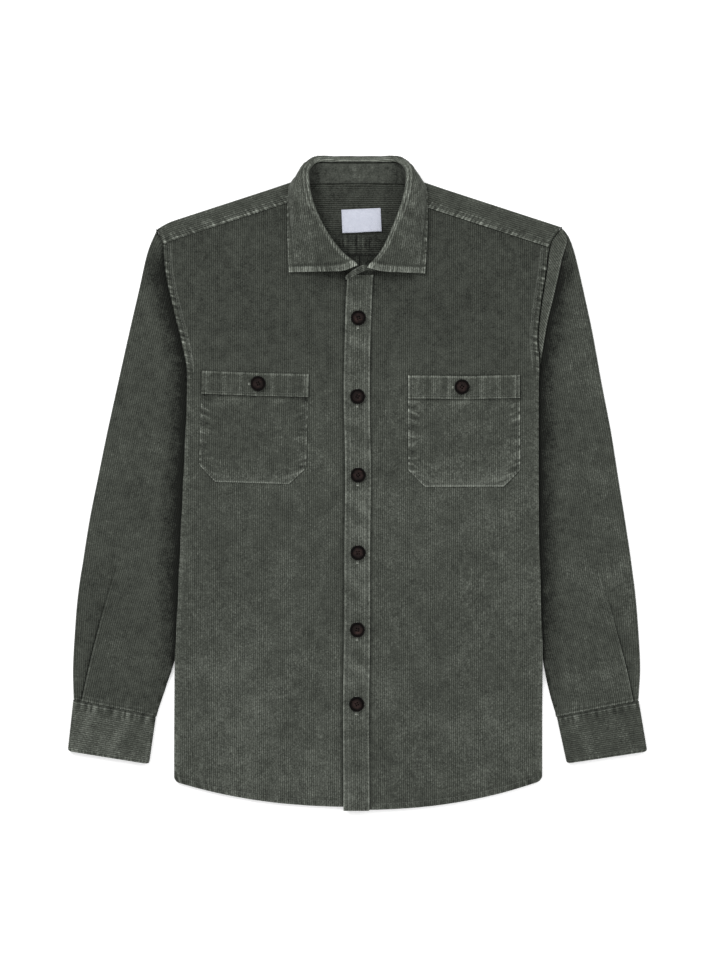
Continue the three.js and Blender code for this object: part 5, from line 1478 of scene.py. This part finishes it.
# The buttons
buttons = []
front_trees = [trees["placket"]]
for k, y in enumerate(FRONT_BUTTON_Y):
    x = float(follow(PLACKET_MIDDLE, np.array(y), "x")) + 0.6
    rests = max(height_on(front_trees, x + dx, y + dy, 10) for dx in (-6, 0, 6) for dy in (-6, 0, 6))
    turn = [0.3, 1.1, 0.7, 0.1, 1.4, 0.5][k]
    tilt = [(0.03, 0.02), (-0.02, 0.03), (0.02, -0.03), (-0.03, 0), (0.02, 0.03), (0.04, -0.02)][k]
    buttons.append((f"front_button_{k + 1}", f"button_{k + 1}", x, y, rests, turn, tilt))
for side, x, y, turn in (("right", -119.0, 119.0, 0.4), ("left", 125.0, 115.0, 0.9)):
    rests = max(height_on([trees[f"pocket_band_{side}"]], x + dx, y + dy, 8) for dx in (-6, 0, 6) for dy in (-6, 0, 6))
    buttons.append((f"small_pocket_button_{side}", f"pocket_button_{side}", x, y, rests, turn, (0.02, 0.01)))
sewn = []
for name, node, x, y, rests, turn, tilt in buttons:
    button = make_button(name, x, y, rests + 0.1, turn, tilt)
    button.data.materials.append(resin)
    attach(button, "root")
    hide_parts(node)
    face = rests + 0.1 + BUTTON_THICK - 0.87
    for k in range(4):
        angle = math.pi / 4 + k * math.pi / 2 + turn
        hole_x, hole_y = x + HOLE_PLACE * math.cos(angle), y + HOLE_PLACE * math.sin(angle)
        sewn.append(thread_plug(hole_x, hole_y, rests + 0.05, face - 0.55))
sewing = joined_threads("button_sewing", sewn)
sewing.data.materials.append(hole_shade_thread)

# Buttonholes: a slit closed by two rows of satin stitch, with a bar at each end
holes = []
for name, node, x, y, rests, turn, tilt in buttons:
    on = front_trees if name.startswith("front") else [trees[f"pocket_band_{name.split('_')[-1]}"]]
    upright = name.startswith("front")
    for k in range(38):
        for lane in (-1, 1):
            at = -12.4 + k * 0.56
            spots = []
            for off in (0.25, 1.35):
                px, py = (x - 0.6 + lane * off, y + at) if upright else (x + at * 0.9, y - 0.4 + lane * off)
                z = height_on(on, px, py, None)
                spots.append(None if z is None else (px, py, z + 0.02))
            if None not in spots:
                holes.append(tube_between(spots[0], spots[1], 0.26, 0.16, segments=2, sides=5))
    for end in (-12.9, 8.2):
        for k in range(4):
            spots = []
            for off in (-1.5, 1.5):
                px, py = (x - 0.6 + off, y + end + k * 0.32) if upright else (x + end * 0.9 + k * 0.3, y - 0.4 + off)
                z = height_on(on, px, py, None)
                spots.append(None if z is None else (px, py, z + 0.12))
            if None not in spots:
                holes.append(tube_between(spots[0], spots[1], 0.27, 0.2, segments=3, sides=5))
buttonholes = joined_threads("buttonholes", holes)
buttonholes.data.materials.append(worn_thread)


# Topstitching
def line_of(places, count=80):
    places = [places(t) for t in np.linspace(0, 1, count)]
    return [(float(x), float(y)) for x, y in places]


def side_x(side, y, inset):
    return SIGN[side] * (float(reach(side, np.array(y))) - inset)


def placket_line(off):
    def place(t):
        y = mix(247, -390, t)
        middle = float(follow(PLACKET_MIDDLE, np.array(y), "x")) + 0.35 * math.sin(y / 31 + 1)
        return middle + off, y

    return line_of(place, 240)


def on_pocket(side, spots):
    return [tuple(float(v) for v in pocket_place(side, across, down)) for across, down in spots]


seams = {}
seams["placket"] = ([trees["placket"]], [placket_line(-11.3), placket_line(11.3)])
for side in ("right", "left"):
    sign = SIGN[side]
    top = float(shoulder_y(np.array(200.0))) - YOKE_DROP[side] - 6
    armhole_lines = [
        line_of(lambda t, inset=inset: (side_x(side, mix(top, 142, t), inset), mix(top, 142, t))) for inset in (6.6, 9.4)
    ]
    hem_from = 20 if side == "left" else 19

    def hem_place(t, inset=7.0):
        x = sign * mix(hem_from, float(reach(side, np.array(-370.0))) - 6, t)
        return x, float(hem_y(side, np.array(x))) + inset

    seams[f"front_{side}"] = ([trees[f"front_{side}"]], [*armhole_lines, line_of(hem_place)])
    half, tall = POCKETS[side]["width"] / 2, POCKETS[side]["height"]
    inset = 3.2
    corner = POCKET_CORNER * 0.93
    pocket_spots = [(-half + inset, POCKET_BAND + 1.5), (-half + inset, tall - corner - inset * 0.6),
                    (-half + corner + inset * 0.6, tall - inset), (half - corner - inset * 0.6, tall - inset),
                    (half - inset, tall - corner - inset * 0.6), (half - inset, POCKET_BAND + 1.5)]
    seams[f"pocket_{side}"] = ([trees[f"pocket_{side}"]], [on_pocket(side, pocket_spots)])
    band_spots = [[(-half + 4, 1.5), (-half + 4, POCKET_BAND - 1)], [(half - 4, 1.5), (half - 4, POCKET_BAND - 1)],
                  [(-half + 5, POCKET_BAND - 3.4), (half - 5, POCKET_BAND - 3.4)]]
    seams[f"pocket_band_{side}"] = ([trees[f"pocket_band_{side}"]], [on_pocket(side, spots) for spots in band_spots])

    def yoke_place(t):
        x = sign * mix(72, float(reach(side, np.array(290.0))) - 7, t)
        return x, float(shoulder_y(np.array(x))) - YOKE_DROP[side] + 5.6

    seams[f"yoke_{side}"] = ([trees["yoke"]], [line_of(yoke_place)])
    corners = {key: np.array(value) for key, value in CUFFS[side].items()}

    def cuff_line(down, side=side, corners=corners):
        top, end = 0.0, 1.0
        share = down / np.linalg.norm(corners["end_out"] - corners["top_out"])
        out = mix(corners["top_out"], corners["end_out"], share)
        into = mix(corners["top_in"], corners["end_in"], share)
        return [(SIGN[side] * float(mix(out, into, t)[0]), float(mix(out, into, t)[1])) for t in np.linspace(0.06, 0.94, 30)]

    tall_cuff = float(np.linalg.norm(corners["end_out"] - corners["top_out"]))
    seams[f"cuff_{side}"] = ([trees[f"cuff_{side}"]], [cuff_line(3.0), cuff_line(tall_cuff - 4.5)])
foot, roll, turn_line, low_line, edge_line = collar_lines(120)
inset_edge = []
for k in range(8, 112):
    inward = low_line[k] - edge_line[k]
    flat = math.hypot(inward[0], inward[1])
    inset_edge.append((edge_line[k][0] + inward[0] / flat * 6.2, edge_line[k][1] + inward[1] / flat * 6.2))
front_part = [spot for spot in inset_edge if spot[1] < 362]
right_part = [spot for spot in front_part if spot[0] < 0]
left_part = [spot for spot in front_part if spot[0] > 0]
seams["collar_leaf"] = ([trees["collar_leaf"]], [right_part, left_part])
stitched = {}
for name, (on, paths) in seams.items():
    stitched[name] = sew(f"stitches_{name}", on, paths)
    stitched[name].data.materials.append(thread)
for piece in [sewing, buttonholes, *stitched.values()]:
    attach(piece, "root")

# The table, the light and the camera
bpy.ops.mesh.primitive_plane_add(size=6, location=(0, 0, -0.0004))
table = bpy.context.active_object
table.name = "table"
paper, paper_tree, paper_shader = new_material("white paper sweep")
paper_shader.inputs["Base Color"].default_value = linear("f6f6f6")
paper_shader.inputs["Roughness"].default_value = 0.9
paper_shader.inputs["Specular IOR Level"].default_value = 0.1
paper_shader.inputs["Emission Color"].default_value = (1, 1, 1, 1)
paper_shader.inputs["Emission Strength"].default_value = 0.3
table.data.materials.append(paper)

world = bpy.data.worlds.new("studio") if bpy.context.scene.world is None else bpy.context.scene.world
bpy.context.scene.world = world
world.use_nodes = True
sky = world.node_tree.nodes["Background"]
sky.inputs["Color"].default_value = (1, 1, 1, 1)
sky.inputs["Strength"].default_value = 0.5


def softbox(name, place, size, power):
    light = bpy.data.lights.new(name, "AREA")
    light.shape = "RECTANGLE"
    light.size, light.size_y = size
    light.energy = power
    lamp = bpy.data.objects.new(name, light)
    bpy.context.collection.objects.link(lamp)
    lamp.location = place
    lamp.rotation_euler = (-Vector(place)).to_track_quat("-Z", "Y").to_euler()


softbox("key softbox", (-1.1, 1.3, 1.9), (0.9, 0.9), 34)
softbox("fill softbox", (1.5, 0.6, 1.8), (1.4, 1.4), 16)
softbox("overhead softbox", (0.0, -0.4, 2.6), (2.0, 2.0), 16)

DISTANCE = 3.2
SEEN_HEIGHT = 1.152
camera_data = bpy.data.cameras.new("camera")
camera_data.sensor_fit = "VERTICAL"
camera_data.sensor_height = 36
camera_data.lens = 36 * DISTANCE / SEEN_HEIGHT
camera = bpy.data.objects.new("camera", camera_data)
bpy.context.collection.objects.link(camera)
camera.location = (0.003, 0.0036, DISTANCE)
bpy.context.scene.camera = camera
bpy.context.scene.view_settings.view_transform = "Standard"
